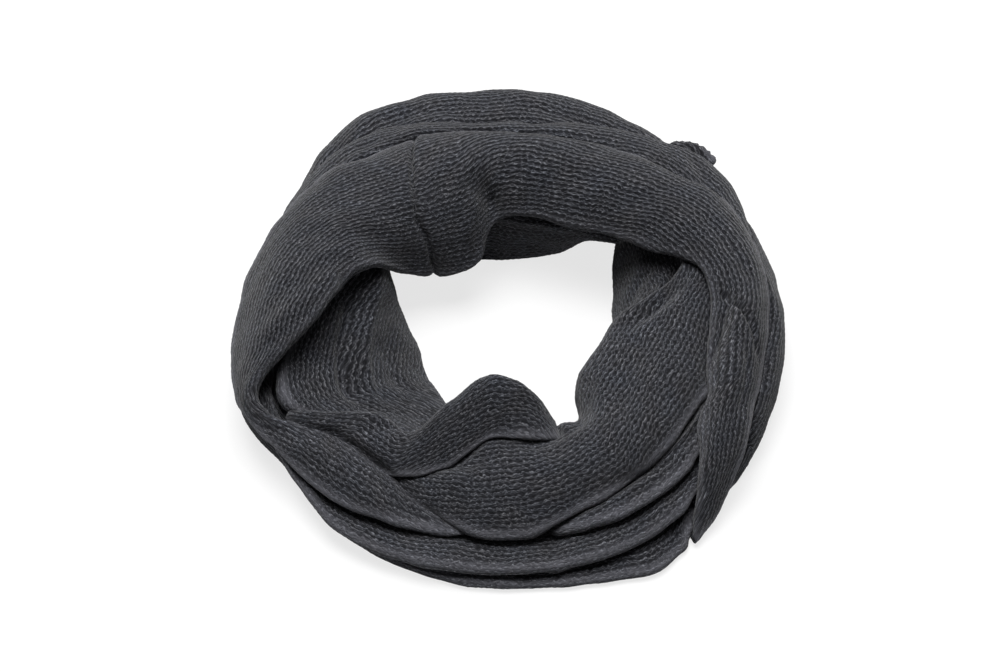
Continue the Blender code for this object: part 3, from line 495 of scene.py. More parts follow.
# %% [markdown]
# ## Laying one stretch under another
# On the real scarf each layer lies on the one below it. A cloth simulation could find
# such contacts, but it would not give these folds again. So the stretches are made from
# the top one down, and each one stays below a ceiling: for every turn and for every
# direction seen from the bundle's axis, it holds how far out a layer may reach.


# %% The ceiling
class Ceiling:
    """How far each direction from the bundle's axis is free, all round the ring."""

    def __init__(self):
        self.looks = np.radians(np.arange(-180, 180))
        self.reach = np.full((360, 360), OPEN)
        self.low = self.reach

    def cover(self, turns, loops):
        """Lowers the ceiling to where each look's ray first crosses a side of the sections."""
        ray = np.stack([np.cos(self.looks), np.sin(self.looks)], axis=1)[:, None]
        for turn, loop in zip(turns, loops):
            start = loop - (BUNDLE_R, BUNDLE_Z)
            side = np.roll(start, -1, axis=0) - start
            cross = ray[..., 0] * side[:, 1] - ray[..., 1] * side[:, 0]
            cross = np.where(np.abs(cross) < TINY, TINY, cross)
            far = (start[:, 0] * side[:, 1] - start[:, 1] * side[:, 0]) / cross
            share = (start[:, 0] * ray[..., 1] - start[:, 1] * ray[..., 0]) / cross
            hit = (far > 0) & (share >= 0) & (share <= 1)
            nearest = np.where(hit, far, OPEN).min(axis=1)
            row = int(round(turn)) % 360
            self.reach[row] = np.minimum(self.reach[row], nearest)
        found = self.reach
        for axis in (0, 1):
            found = np.minimum(found, np.minimum(np.roll(found, 1, axis), np.roll(found, -1, axis)))
        self.low = found

    def free(self, turns, points, clearance=CLEARANCE):
        """Points drawn in towards the bundle's axis to under the ceiling, read between four values."""
        away = points - (BUNDLE_R, BUNDLE_Z)
        reach = np.hypot(away[..., 0], away[..., 1])
        look = np.degrees(np.arctan2(away[..., 1], away[..., 0])) + 180
        place = (np.asarray(turns)[:, None] + 0 * reach) % 360
        i, j = place.astype(int), look.astype(int) % 360
        p, q = place - i, look % 1
        i2, j2, i = (i + 1) % 360, (j + 1) % 360, i % 360
        low = self.low
        limit = (1 - p) * ((1 - q) * low[i, j] + q * low[i, j2])
        limit += p * ((1 - q) * low[i2, j] + q * low[i2, j2])
        share = np.minimum(1, np.maximum(limit - clearance, 1) / np.maximum(reach, TINY))
        return (BUNDLE_R, BUNDLE_Z) + away * share[..., None]


ceiling = Ceiling()
print("directions in the ceiling:", ceiling.low.size)

# %% [markdown]
# ## From a line to a wall of cloth
# The table gives the outer side of the cloth. A Solidify modifier would thicken it
# evenly, but an edge where the strip is folded double is about twice as thick, and it
# is round. So the inner side is worked out from the outer one, and half a circle closes
# each edge. The result is one closed section each degree.

# %% Closed sections
CAP_POINTS = 7


def smooth_step(share):
    """From nought at nought to one at one, level at both: three squares less two cubes."""
    return share * share * (3 - 2 * share)


def eased(rows):
    """Each row but the first and last made half of itself and a quarter of each neighbour."""
    return np.concatenate([rows[:1], (rows[:-2] + 2 * rows[1:-1] + rows[2:]) / 4, rows[-1:]])


def drawn_lines(turns, lines):
    """Outer lines drawn in under the ceiling and eased, in turns, and kept above the floor."""
    for _ in range(2):
        lines = eased(ceiling.free(turns, lines).swapaxes(0, 1)).swapaxes(0, 1)
    lines = ceiling.free(turns, lines)
    lines[..., 1] = np.maximum(lines[..., 1], FLOOR_GAP)
    return resampled(lines, lengths(lines)[:, -1:] * np.linspace(0, 1, SAMPLES))


def round_edge(outer, inner, side):
    """
    Half a circle from the outer side to the inner one: their middle, plus the cosine and
    the sine of its turn times the radius.
    """
    turn = np.pi * np.arange(1, CAP_POINTS + 1)[:, None] / (CAP_POINTS + 1)
    middle = (outer + inner)[:, None] / 2
    radius = (outer - inner)[:, None] / 2
    ahead = np.stack([radius[..., 1], -radius[..., 0]], axis=-1) * side
    edge = middle + np.cos(turn) * radius + np.sin(turn) * ahead
    edge[..., 1] = np.maximum(edge[..., 1], FLOOR_GAP)
    return edge


def wall_loops(lines, folded):
    """
    Closed sections: the inner side is the outer one moved in along its normal by the
    thickness, which goes from the fold's to the wall's with a smooth step.
    """
    length = lengths(lines)[:, -1:]
    thick = [np.minimum(FOLD if fold else WALL, MOST_THICK * length) for fold in folded]
    places = thick[0] / 2 + (length - (thick[0] + thick[1]) / 2) * np.linspace(0, 1, SAMPLES)
    outer = resampled(lines, places)
    course = np.gradient(outer, axis=1)
    course /= np.hypot(course[..., 0], course[..., 1])[..., None]
    normal = np.stack([-course[..., 1], course[..., 0]], axis=-1)
    near = [np.clip((FOLD_END - place) / FOLD_FADE, 0, 1) for place in (places, length - places)]
    body = np.minimum(WALL, np.minimum(*thick))
    depth = body + sum((most - body) * smooth_step(s) for most, s in zip(thick, near))
    inner = outer - normal * depth[..., None]
    inner[..., 1] = np.maximum(inner[..., 1], FLOOR_GAP)
    by_hole = round_edge(outer[:, 0], inner[:, 0], -1)[:, ::-1]
    far_side = round_edge(outer[:, -1], inner[:, -1], 1)
    back = inner[:, ::-1]
    half = SAMPLES // 2
    return np.concatenate([back[:, half:], by_hole, outer, far_side, back[:, : half + 1]], axis=1)


def sections(stretch, folded, beyond=0):
    """
    Closed sections of a stretch a degree apart, under all that lies over them. They start
    so many degrees before its own start.
    """
    first, last = stretch["turn"][0] - beyond, stretch["turn"][-1]
    turns = np.linspace(first, last, int(round(last - first)) + 1)
    lines = rounded(along(stretch, turns).reshape(len(turns), -1, 2), SAMPLES)
    loops = wall_loops(drawn_lines(turns, lines), folded)
    ceiling.cover(turns, loops)
    return turns, loops


# %% [markdown]
# ## The knit
# The cloth is knitted, with its purl side out: each row shows a chain of small arcs, the
# heads of one row of loops and the feet of the next. A row is 3.2 mm and a stitch 4.2 mm.
# The mesh carries the rows and stitches as relief, because light from the side has to
# catch them, and the material adds the strands, which are finer than a mesh should be.
# Neither hands nor machines pull evenly, so the pattern drifts: a sum of long sine waves
# moves it, and each row starts its stitches at another place.

# %% Rows, stitches and drift
ROW = 3.2
STITCH = 4.2
YARN_RELIEF = 0.3
WAVER = 0.42
SWELL = 0.3
ROW_SHIFT = 12.99
SHIFT = 15.0
WAVES = 7
WAVE_SPREAD = (0.7, 1.6)


def drift(u, v, size, seed):
    """
    A smooth uneven field between about -1 and 1: sine waves about one size long, each in
    a direction of its own, added up and divided by half their number.
    """
    rng = np.random.default_rng(seed)
    total = 0
    for _ in range(WAVES):
        heading, phase = rng.uniform(0, 2 * math.pi, 2)
        wave = size * rng.uniform(*WAVE_SPREAD)
        ahead = u * math.cos(heading) + v * math.sin(heading)
        total = total + np.sin(2 * math.pi * ahead / wave + phase)
    return total / (WAVES / 2)


def drifts(u, v, fields):
    """The sum of drifts, each with its size and its most in millimetres and its seed."""
    return sum(most * drift(u, v, size, seed) for size, most, seed in fields)


def stitches(u, v):
    """
    The height of the knit: a ridge a row, one minus the cosine of the distance across it,
    which wavers and swells with the cosine of the distance along it.
    """
    start = SHIFT * np.sin(ROW_SHIFT * np.floor(v / ROW))
    stitch = np.cos(2 * math.pi * (u + start) / STITCH)
    ridge = 0.5 - 0.5 * np.cos(2 * math.pi * (v + WAVER * stitch) / ROW)
    return ridge * (1 - SWELL + SWELL * stitch)


print(f"rows {ROW} mm, stitches {STITCH} mm, {10000 / ROW / STITCH:.0f} stitches to 10 cm square")

# %% [markdown]
# ## Creases placed one by one
# A long strip that lies in a small ring has to crumple on its inner side. These creases
# are few and each has its place, so they are written down as lines on the plan, each
# point a turn and a distance, with a width and a depth in millimetres. A trough pushes
# the surface in, a ridge has a depth below nought and lifts it, and both fade out softly
# to their sides and ends. The first ones take every layer with them, so that none comes
# through the one above it.

# %% The creases' places
CREASES = {
    "every layer": (
        ([(104, 77), (100, 73), (97, 69), (95, 65), (93, 61)], 5.0, 9.5),
        ([(-4, 124), (-14, 124), (-22, 127), (-27, 131)], 6.0, 4.5),
        ([(-2, 131), (-6, 131), (-11, 131), (-16, 130), (-23, 133)], 3.8, 6.5),
        ([(1, 126), (-2, 132), (-5, 139), (-8, 145), (-11, 151), (-14, 155)], 2.0, 3.4),
        ([(-12, 138), (-18, 141), (-27, 146)], 4.5, -2.0),
        ([(170, 93), (180, 95), (190, 99), (197, 101), (204, 102), (211, 98)], 4.2, 5.5),
        ([(8, 105), (4, 97), (-1, 88), (-6, 79), (-12, 70)], 4.5, 4.2),
        ([(-26, 139), (-38, 137), (-50, 135), (-62, 133)], 3.6, 4.2),
        ([(-48, 72), (-57, 79), (-64, 90), (-76, 94), (-88, 93)], 4.5, 3.2),
        ([(-94, 102), (-104, 108), (-114, 108)], 4.5, 2.6),
    ),
    "upper_wrap_right": (
        ([(98, 82), (92, 76), (87, 72)], 4.0, -1.2),
        ([(90, 79), (86, 88), (84, 99)], 6.0, 1.8),
        ([(118, 62), (115, 72), (114, 86), (114, 99)], 5.0, 1.4),
        ([(40, 82), (44, 96), (47, 112)], 8.0, 1.6),
        ([(24, 96), (28, 112), (32, 130)], 7.0, 1.5),
        ([(66, 72), (60, 92), (52, 112)], 9.0, 1.2),
        ([(26, 124), (14, 134), (2, 147)], 4.0, 1.4),
        ([(-14, 146), (-22, 152), (-30, 157)], 2.4, 1.8),
    ),
    "upper_wrap_left": (
        ([(136, 58), (138, 68), (139, 80)], 5.0, 2.0),
        ([(150, 74), (156, 92), (160, 112)], 6.0, 1.8),
        ([(164, 86), (172, 104), (180, 126)], 6.0, 2.0),
        ([(186, 112), (192, 132), (196, 150)], 4.5, 2.2),
        ([(210, 150), (222, 150), (236, 149)], 6.0, 1.6),
        ([(216, 136), (228, 134), (240, 138)], 5.0, -1.2),
    ),
    "left_inner": (
        ([(155, 80), (164, 80), (174, 80), (182, 83), (192, 86), (200, 88), (209, 91)], 3.2, -2.6),
        ([(150, 104), (166, 110), (180, 116), (194, 120)], 6.0, 2.0),
        ([(176, 104), (188, 108), (200, 112)], 3.5, 1.6),
        ([(160, 70), (178, 70), (196, 71), (212, 70)], 4.5, 1.4),
    ),
    "front_panel": (
        ([(-20, 80), (-30, 84), (-42, 90), (-54, 98)], 9.0, 1.6),
        ([(-66, 100), (-76, 104), (-88, 108)], 8.0, 1.4),
        ([(-96, 112), (-106, 122), (-114, 130)], 6.0, -1.2),
        ([(-8, 112), (-24, 114), (-38, 114)], 7.0, 1.4),
    ),
    "front_roll": (
        ([(-86, 66), (-92, 74), (-98, 84), (-106, 97)], 5.0, 3.0),
        ([(-78, 62), (-80, 72)], 5.0, 2.0),
        ([(-120, 92), (-130, 108), (-138, 122)], 5.0, 2.0),
        ([(-112, 76), (-118, 88)], 4.0, -1.6),
        ([(-136, 100), (-144, 112), (-150, 124)], 4.5, 1.8),
    ),
    "front_fold": (([(-70, 140), (-56, 142), (-42, 143)], 3.5, 1.2),),
    "lower_front": (
        ([(-118, 150), (-100, 146), (-84, 146)], 4.5, 1.4),
        ([(-70, 150), (-58, 152), (-46, 150)], 4.0, 1.6),
    ),
    "bottom_fold": (
        ([(-76, 156), (-66, 162), (-56, 164)], 4.0, 1.0),
        ([(-46, 162), (-50, 166), (-52, 170)], 5.5, -7.5),
    ),
    "back_second": (
        ([(60, 128), (76, 122), (92, 120)], 4.0, 1.4),
        ([(120, 138), (130, 144), (142, 148)], 4.5, 1.6),
        ([(34, 148), (42, 158), (48, 160)], 4.0, 1.2),
    ),
    "back_outer": (
        ([(96, 150), (110, 158), (124, 164)], 6.0, 2.0),
        ([(60, 150), (76, 150), (90, 152)], 5.0, 1.6),
        ([(128, 176), (118, 180), (104, 180)], 7.0, 1.6),
        ([(150, 160), (166, 157), (184, 160)], 6.0, 1.8),
    ),
    "back_inner": (
        ([(60, 78), (78, 73), (96, 73)], 4.0, 1.6),
        ([(70, 78), (72, 74), (74, 72)], 4.0, 1.2),
    ),
    "right_inner": (
        ([(-6, 68), (2, 74), (8, 84)], 4.0, 2.0),
        ([(14, 70), (20, 82), (26, 98)], 4.0, 1.8),
    ),
}
print("creases:", sum(len(lines) for lines in CREASES.values()))

# %% Troughs and ridges
LOST_AT_ENDS = 0.7
POINTS_A_MARK = 4


def creased(name, points):
    """
    How far each point goes in towards the bundle: for each line, its depth times e to
    minus the square of the distance over the width. Near the line's ends the same curve,
    twice as wide, takes most of that away.
    """
    flat = points[..., :2]
    total = np.zeros(flat.shape[:2])
    for line, width, depth in CREASES["every layer"] + CREASES.get(name, ()):
        angle, r = np.radians([p[0] for p in line]), np.array([p[1] for p in line])
        knots = np.stack([r * np.cos(angle), r * np.sin(angle)], axis=1)
        knots = rounded(knots, POINTS_A_MARK * len(line))
        best = np.full(flat.shape[:2], np.inf)
        for start, end in zip(knots, knots[1:]):
            side = end - start
            share = np.clip(((flat - start) @ side) / (side @ side), 0, 1)
            gap = flat - start - share[..., None] * side
            best = np.minimum(best, (gap**2).sum(axis=-1))
        reach = np.minimum(*(((flat - end) ** 2).sum(axis=-1) for end in (knots[0], knots[-1])))
        left = 1 - LOST_AT_ENDS * np.exp(-reach / (2 * width) ** 2)
        total += depth * np.exp(-best / width**2) * left
    return total


print("creases that every layer follows:", len(CREASES["every layer"]))

# %% [markdown]
# ## A fine grid over each wall
# A grid of about 0.9 by 1.1 mm gives each row of stitches four points, which is the
# least that shows it round. The grid also keeps for each point where it lies across the
# cloth, how near it is to a fold, and whether it can be seen.

# %% From sections to a grid
ACROSS_STEP = 0.85
ALONG_STEP = 1.1
RIM = 3.0
HOLE_RIM = 0.3
LIP = 6.0
WIDTH_PERCENTILE = 90
BACK_COLUMNS = 7
SEAM_TURN = 128.0
SEAM_SPREAD = 34.0
BEFORE_END = 1e-6


def lean(turn, across):
    """
    How far a section drifts round the ring near the join: the seam's own lean times the
    squared cosine of the distance from it.
    """
    near = np.clip(abs(turn - SEAM_TURN) / SEAM_SPREAD, 0, 1)
    return np.cos(math.pi / 2 * near) ** 2 * np.interp(across, SEAM_LEAN["across"], SEAM_LEAN["lean"])


def along_turns(turns, grid, place):
    """Each column of the grid at its own turns: a Catmull-Rom cubic between the nearest sections."""
    step = (turns[-1] - turns[0]) / (len(turns) - 1)
    at = np.clip((place - turns[0]) / step, 0, len(turns) - 1 - BEFORE_END)
    row = at.astype(int)
    t = (at - row)[..., None]
    spot = np.arange(grid.shape[1])[None, :] + 0 * row
    before = grid[np.maximum(row - 1, 0), spot]
    after = grid[np.minimum(row + 2, len(turns) - 1), spot]
    return cubic(before, grid[row, spot], grid[row + 1, spot], after, t)


def zone_places(marks, counts):
    """Evenly spaced places in each zone between two marks."""
    pieces = []
    for start, end, count in zip(marks, marks[1:], counts):
        share = np.linspace(0, 1, count, endpoint=False)
        pieces.append(start[:, None] + (end - start)[:, None] * share)
    return np.concatenate([*pieces, marks[-1][:, None]], axis=1)


print("lean at the hole and at the outer side:", lean(SEAM_TURN, np.array([0, 1])), "degrees")


# %% The grid over a stretch
def wall_grid(turns, loops, first, last, leaning=False):
    """
    The grid over a stretch: turn, distance, height, distance across from the middle,
    share across, nearness to a fold, and one where the cloth shows.
    """
    half = SAMPLES // 2
    corners = np.cumsum([half, CAP_POINTS + 1, SAMPLES - 1, CAP_POINTS + 1, half])
    ring = splined(loops, loops[:, -2:-1], loops[:, 1:2])
    at = lengths(ring)
    a1, a2, a3, a4, a5 = (at[:, SPLINE_STEPS * corner] for corner in corners)
    lip = np.minimum(LIP, a1 / 2)
    zones = (a2 - a1 + lip, a3 - a2, a4 - a3 + lip)
    widths = [np.percentile(zone, WIDTH_PERCENTILE) / ACROSS_STEP for zone in zones]
    counts = (BACK_COLUMNS, *(max(3, int(round(width))) for width in widths), BACK_COLUMNS)
    places = zone_places((0 * a1, a1 - lip, a2, a3, a4 + lip, a5), counts)
    fine = eased(eased(resampled(ring, places)))
    across = (places - a2[:, None]) / (a3 - a2)[:, None]
    # The rim is how near each point is to the folded edges, a little of it by the hole. The material
    # paints it paler as a painted highlight, and edge bumps follow it too.
    outer, inner = (np.exp(-(((places - edge[:, None]) / RIM) ** 2)) for edge in (a3, a2))
    rim = outer + HOLE_RIM * inner
    extra = [places - (a2 + a3)[:, None] / 2, np.clip(across, 0, 1), rim]
    fine = np.concatenate([fine, np.stack(extra, axis=-1)], axis=-1)
    count = max(3, int(round(math.radians(last - first) * BUNDLE_R / ALONG_STEP)))
    share = fine[..., 3].mean(axis=0)[None, :]
    place = np.linspace(first, last, count)[:, None] + 0 * share
    if leaning:
        place = place + lean(place, share)
    grid = along_turns(turns, fine, place)
    shows = np.append(np.repeat([0.0, 1.0, 1.0, 1.0, 0.0], counts), 0.0) + 0 * place
    return (place, *np.moveaxis(grid, -1, 0), shows)


print(f"grid: {ACROSS_STEP} mm across, {ALONG_STEP} mm along")

# %% [markdown]
# ## From a grid to a mesh
# The mesh is filled with foreach_set, a whole array at a time. Its faces are turned
# outward by the order of their corners, and each open end gets one closing face. It has
# two UV maps: "knit" tells the material where it is in the cloth in millimetres, and the
# other lays the grid out in a square with no overlap, so that the material can be baked.


# %% Plan, outward direction and knit places
def plan_of(turn, r, z):
    """From turn, distance and height to x, y and height, with the turn's cosine and sine."""
    turn = np.radians(turn)
    return np.stack([r * np.cos(turn), r * np.sin(turn), z], axis=-1)


def outward(points):
    """The unit direction out of the cloth: the step across crossed with the step along."""
    normal = np.cross(np.gradient(points, axis=1), np.gradient(points, axis=0))
    return normal / np.maximum(np.linalg.norm(normal, axis=-1), TINY)[..., None]


def run_of(points):
    """The distance along each row from the middle of the stretch: the sum of the steps so far."""
    step = steps(points, 0)
    run = np.concatenate([np.zeros((1, step.shape[1])), np.cumsum(step, axis=0)])
    return run - run[len(run) // 2]


# %% Meshes
BORDER = 0.01


def quads(values):
    """The values at the four corners of each quad of a grid, in the order that turns it outward."""
    return np.stack([values[1:, :-1], values[1:, 1:], values[:-1, 1:], values[:-1, :-1]], axis=2)


def set_map(mesh, name, spots, caps):
    """A UV map from the spots of a grid, and those of the closing faces."""
    layer = mesh.uv_layers.new(name=name)
    spots = np.concatenate([quads(spots).reshape(-1, 2), *caps])
    layer.uv.foreach_set("vector", spots.astype(np.float32).ravel())


def linked(name, data):
    """A new object with this mesh, light or camera, linked into the scene."""
    obj = bpy.data.objects.new(name, data)
    bpy.context.scene.collection.objects.link(obj)
    return obj

print("closing faces have", BORDER / 2, "of the baking square on each side")


# %% One closed body
def mesh_piece(name, points, knit, rim, closed=False):
    """
    One closed body from a grid whose columns go round the section. A closed grid also
    meets itself along the ring.
    """
    rows, columns = points.shape[:2]
    count = columns - 1
    body = points[: rows - closed, :-1] - (MIDDLE_X, MIDDLE_Y, 0)
    corner = np.arange((rows - closed) * count).reshape(-1, count)
    corner = np.concatenate([corner, corner[:, :1]], axis=1)
    if closed:
        corner = np.concatenate([corner, corner[:1]])
    loops = quads(corner).ravel()
    starts = np.arange(0, len(loops), 4)
    square = np.meshgrid(np.linspace(BORDER, 1 - BORDER, columns), np.linspace(0, 1, rows))
    square = np.stack(square, axis=-1)
    knit_caps, square_caps = [], []
    if not closed:
        starts = np.concatenate([starts, [len(loops), len(loops) + count]])
        loops = np.concatenate([loops, corner[0, :-1], corner[-1, :-1][::-1]])
        knit_caps = [knit[0, :-1], knit[-1, :-1][::-1]]
        for row, side in ((points[0, :-1], 0.0), (points[-1, :-1][::-1], 1 - BORDER / 2)):
            flat = np.stack([np.hypot(row[:, 0], row[:, 1]), row[:, 2]], axis=1)
            flat = (flat - flat.min(axis=0)) / np.ptp(flat, axis=0)
            square_caps.append(flat[:, ::-1] * (BORDER / 2, 1) + (side, 0))
    mesh = bpy.data.meshes.new(name)
    mesh.vertices.add(body.shape[0] * body.shape[1])
    mesh.vertices.foreach_set("co", (body * MM).astype(np.float32).ravel())
    mesh.loops.add(len(loops))
    mesh.loops.foreach_set("vertex_index", loops.astype(np.int32))
    mesh.polygons.add(len(starts))
    mesh.polygons.foreach_set("loop_start", starts.astype(np.int32))
    mesh.update(calc_edges=True)
    mesh.validate()
    set_map(mesh, "knit", knit, knit_caps)
    set_map(mesh, "OFBake", square, square_caps)
    rims = mesh.attributes.new("rim", "FLOAT", "POINT")
    rims.data.foreach_set("value", rim[: rows - closed, :-1].astype(np.float32).ravel())
    mesh.shade_smooth()
    return linked(name, mesh)


# %% [markdown]
# ## Heathered yarn
# The yarn is spun from charcoal fibres with a few light ones among them, which is called
# heather or marl. It is matt and a little hairy: it scatters light at its rims, so it
# gets some sheen and no gloss, and the colour near fold edges is painted paler, a painted
# highlight where the hairy fibres catch the light. The strands are two waves a row that
# swing against each other, each row from another start, made with the same numbers as the
# relief, and the colour is darker between them, which is painted shade in the gaps. Noise
# drawn out along the row gives fibres.


# %% Colours and nodes
def linear(code):
    """
    An sRGB hex colour as linear red, green, blue and alpha: the standard curve, straight
    near black and a power of 2.4 above.
    """
    parts = np.array([int(code[i : i + 2], 16) for i in (1, 3, 5)]) / 255
    parts = np.where(parts <= 0.04045, parts / 12.92, ((parts + 0.055) / 1.055) ** 2.4)
    return (*parts, 1.0)


def add(tree, kind, inputs=None, **settings):
    """
    A shader node with its settings. Each input is set to a value, or linked to a socket
    or to a node's first output.
    """
    node = tree.nodes.new("ShaderNode" + kind)
    for name, value in settings.items():
        setattr(node, name, value)
    for name, value in (inputs or {}).items():
        source = value.outputs[0] if isinstance(value, bpy.types.Node) else value
        if isinstance(source, bpy.types.NodeSocket):
            tree.links.new(source, node.inputs[name])
        else:
            node.inputs[name].default_value = source
    return node


def new_material(name):
    """A material with this name, its tree and its shader."""
    material = bpy.data.materials.new(name)
    material.use_nodes = True
    tree = material.node_tree
    return material, tree, tree.nodes["Principled BSDF"]


print("mid charcoal, linear:", np.round(linear("#2d2d31"), 4))

# %% Strands of the knit
WAVE = math.pi / 10  # the length of one band of a Wave Texture at a scale of 1
SWING = 0.30
SHAKEN = {"Distortion": 2.2, "Detail": 2.0, "Detail Scale": 2.2}
NARROW = 3.5
RISE = 0.35


def strand_height(tree, place):
    """
    The height of the strands: the higher of two chains of arcs, each a narrowed wave
    across the row that swings with the stitch.
    """
    axes = add(tree, "SeparateXYZ", {0: place})
    row = add(tree, "Math", {0: axes.outputs["Y"], 1: ROW}, operation="DIVIDE")
    row = add(tree, "Math", {0: row}, operation="FLOOR")
    start = add(tree, "Math", {0: row, 1: ROW_SHIFT}, operation="MULTIPLY")
    start = add(tree, "Math", {0: start}, operation="SINE")
    start = add(tree, "Math", {0: start, 1: SHIFT, 2: axes.outputs["X"]}, operation="MULTIPLY_ADD")
    run = add(tree, "CombineXYZ", {"X": start})
    stitch = {"Vector": run, "Scale": WAVE / STITCH, "Phase Offset": math.pi}
    swing = add(tree, "TexWave", stitch, bands_direction="X").outputs["Fac"]
    heights = []
    for side, phase, first in ((1, math.pi / 2, 1 - RISE), (-1, 3 * math.pi / 2, 1.0)):
        swung = {0: swing, 1: (0, side * SWING * ROW, 0), 2: place}
        moved = add(tree, "VectorMath", swung, operation="MULTIPLY_ADD")
        arc = {"Vector": moved, "Scale": WAVE / ROW, "Phase Offset": phase, **SHAKEN}
        wave = add(tree, "TexWave", arc, bands_direction="Y").outputs["Fac"]
        narrow = add(tree, "Math", {0: wave, 1: NARROW}, operation="POWER")
        rise = add(tree, "Math", {0: swing, 1: side * RISE, 2: first}, operation="MULTIPLY_ADD")
        heights.append(add(tree, "Math", {0: narrow, 1: rise}, operation="MULTIPLY"))
    return add(tree, "Math", {0: heights[0], 1: heights[1]}, operation="MAXIMUM")


print(f"strands: two chains in each row of {ROW} mm, swinging by {SWING * ROW:.2f} mm")

# %% The yarn's material
STRAND_SHARE = 0.36
RIM_HIGHLIGHT_SHARE = 0.4
SHAKE = (2.6, 1.7, 0)
FIBRE_DRAWN = (0.32, 1.25, 1.0)
BUMP = 0.0011


def heather_knit():
    """Charcoal heather yarn, knitted: dark between strands, which is painted shade, mid grey
    on them, light fibres. Fold edges are painted paler, a painted highlight.
    """
    material, tree, shader = new_material("charcoal heather knit")
    place = add(tree, "UVMap", uv_map="knit")
    shake = add(tree, "TexNoise", {"Vector": place, "Scale": 0.28, "Detail": 2.0}).outputs["Color"]
    shaken = add(tree, "VectorMath", {0: shake, 1: SHAKE, 2: place}, operation="MULTIPLY_ADD")
    strands = strand_height(tree, shaken)
    drawn = add(tree, "Mapping", {"Vector": shaken, "Scale": FIBRE_DRAWN})
    grain = {"Vector": drawn, "Scale": 1.0, "Detail": 4.0, "Roughness": 0.62}
    fibre = add(tree, "TexNoise", grain).outputs["Fac"]
    # The level mixes strand height with fibre noise. The ramp turns low levels dark, which is painted
    # shade in the gaps between strands, over the yarn's own light and dark fibres.
    level = add(tree, "Math", {0: strands, 1: STRAND_SHARE, 2: fibre}, operation="MULTIPLY_ADD")
    heather_and_gap_shade = add(tree, "ValToRGB", {"Fac": level})
    stops = heather_and_gap_shade.color_ramp.elements
    stops[0].position, stops[0].color = 0.40, linear("#101013")
    stops[1].position, stops[1].color = 0.98, linear("#77777c")
    for at, code in ((0.52, "#1c1c1f"), (0.66, "#2d2d31"), (0.82, "#46464a")):
        stops.new(at).color = linear(code)
    patches = add(tree, "TexNoise", {"Vector": place, "Scale": 0.05, "Detail": 3.0}).outputs["Fac"]
    casts = {0: patches, 6: linear("#faf5ec"), 7: linear("#e5f1fd")}
    tint = add(tree, "Mix", casts, data_type="RGBA").outputs[2]
    both = {0: 1.0, 6: heather_and_gap_shade, 7: tint}
    tinted = add(tree, "Mix", both, data_type="RGBA", blend_type="MULTIPLY").outputs[2]
    # Fold edges are painted paler, towards #8c8c94, where the rim attribute is high: a painted
    # highlight where the hairy fibres catch the light.
    rim = add(tree, "Attribute", attribute_name="rim").outputs["Fac"]
    painted_rim_highlight = add(tree, "Math", {0: rim, 1: fibre}, operation="MULTIPLY")
    painted_rim_highlight = add(tree, "Math", {0: painted_rim_highlight, 1: RIM_HIGHLIGHT_SHARE}, operation="MULTIPLY")
    edges = {0: painted_rim_highlight, 6: tinted, 7: linear("#8c8c94")}
    colour = add(tree, "Mix", edges, data_type="RGBA").outputs[2]
    tree.links.new(colour, shader.inputs["Base Color"])
    bump = add(tree, "Bump", {"Strength": 0.8, "Distance": BUMP, "Height": level})
    tree.links.new(bump.outputs[0], shader.inputs["Normal"])
    shader.inputs["Roughness"].default_value = 0.95
    shader.inputs["Specular IOR Level"].default_value = 0.1
    shader.inputs["Sheen Weight"].default_value = 0.12
    shader.inputs["Sheen Roughness"].default_value = 0.45
    return material


KNIT = heather_knit()
print("nodes in the yarn's material:", len(KNIT.node_tree.nodes))

# %% [markdown]
# ## One piece for each stretch
# Each piece takes the place of its CAD node and rides on the root body, because a scarf
# has no joints. Near the join both halves roll down into the seam.

# %% The seam, the ends and the edges
SEAM_DEPTH = 3.2
SEAM_WIDTH = 1.6
PUCKER = 0.3
PUCKER_STEP = 5.5
END_FADE = 12.0
EDGE_FADE = 20.0
EDGE_TURNS = 12.0


def inward(turn, r, z):
    """The unit direction to the bundle's axis, in the plane of each section."""
    side, up = BUNDLE_R - r, BUNDLE_Z - z
    far = np.maximum(np.hypot(side, up), TINY)
    angle = np.radians(turn)
    return np.stack([side * np.cos(angle), side * np.sin(angle), up], axis=-1) / far[..., None]


def seam_roll(points, at_row):
    """
    How far the cloth dips at the seam: the depth times e to minus the square of the
    distance over the width, with small puckers along it, a sine.
    """
    gap = np.sqrt(((points - points[at_row]) ** 2).sum(axis=-1))
    down = lengths(points[at_row][:, :2])[None, :]
    puckers = 1 + PUCKER * np.sin(2 * math.pi * down / PUCKER_STEP)
    return SEAM_DEPTH * np.exp(-((gap / SEAM_WIDTH) ** 2)) * puckers


def sunk(u, ends):
    """How far the ends go in under their neighbours: each one's depth times the smooth step."""
    total = 0
    for far, depth in zip((u - u[0], u[-1] - u), ends):
        near = np.clip(1 - far / (END_FADE + 2 * depth), 0, 1)
        total = total + depth * smooth_step(near)
    return total


def tucked(turn, v, across, outer, depth, first, last):
    """
    How far an edge goes in to meet the cloth under it: its depth times two smooth steps,
    one down away from the edge and one up from its first and last turn.
    """
    inside, out = (across < 1, v) if outer else (across > 0, -v)
    edge = np.where(inside, out, -OPEN).max(axis=1, keepdims=True)
    to_edge = np.where(inside, edge - out, 0)
    near = np.clip(1 - to_edge / EDGE_FADE, 0, 1)
    between = np.clip(np.minimum(turn - first, last - turn) / EDGE_TURNS, 0, 1)
    return depth * smooth_step(near) * smooth_step(between)


print("the seam is", SEAM_DEPTH, "mm deep, with a pucker each", PUCKER_STEP, "mm")

# %% Finishing a piece
DRIFT_ALONG = ((33, 1.3, 1), (9, 0.5, 2))
DRIFT_ACROSS = ((44, 1.1, 3), (11, 0.45, 4))
UNEVEN = ((52, 0.8, 5), (19, 0.4, 6))
MIDDLE_STITCH = 0.4
EDGE_STITCH = 4.6
LOWEST = 0.3


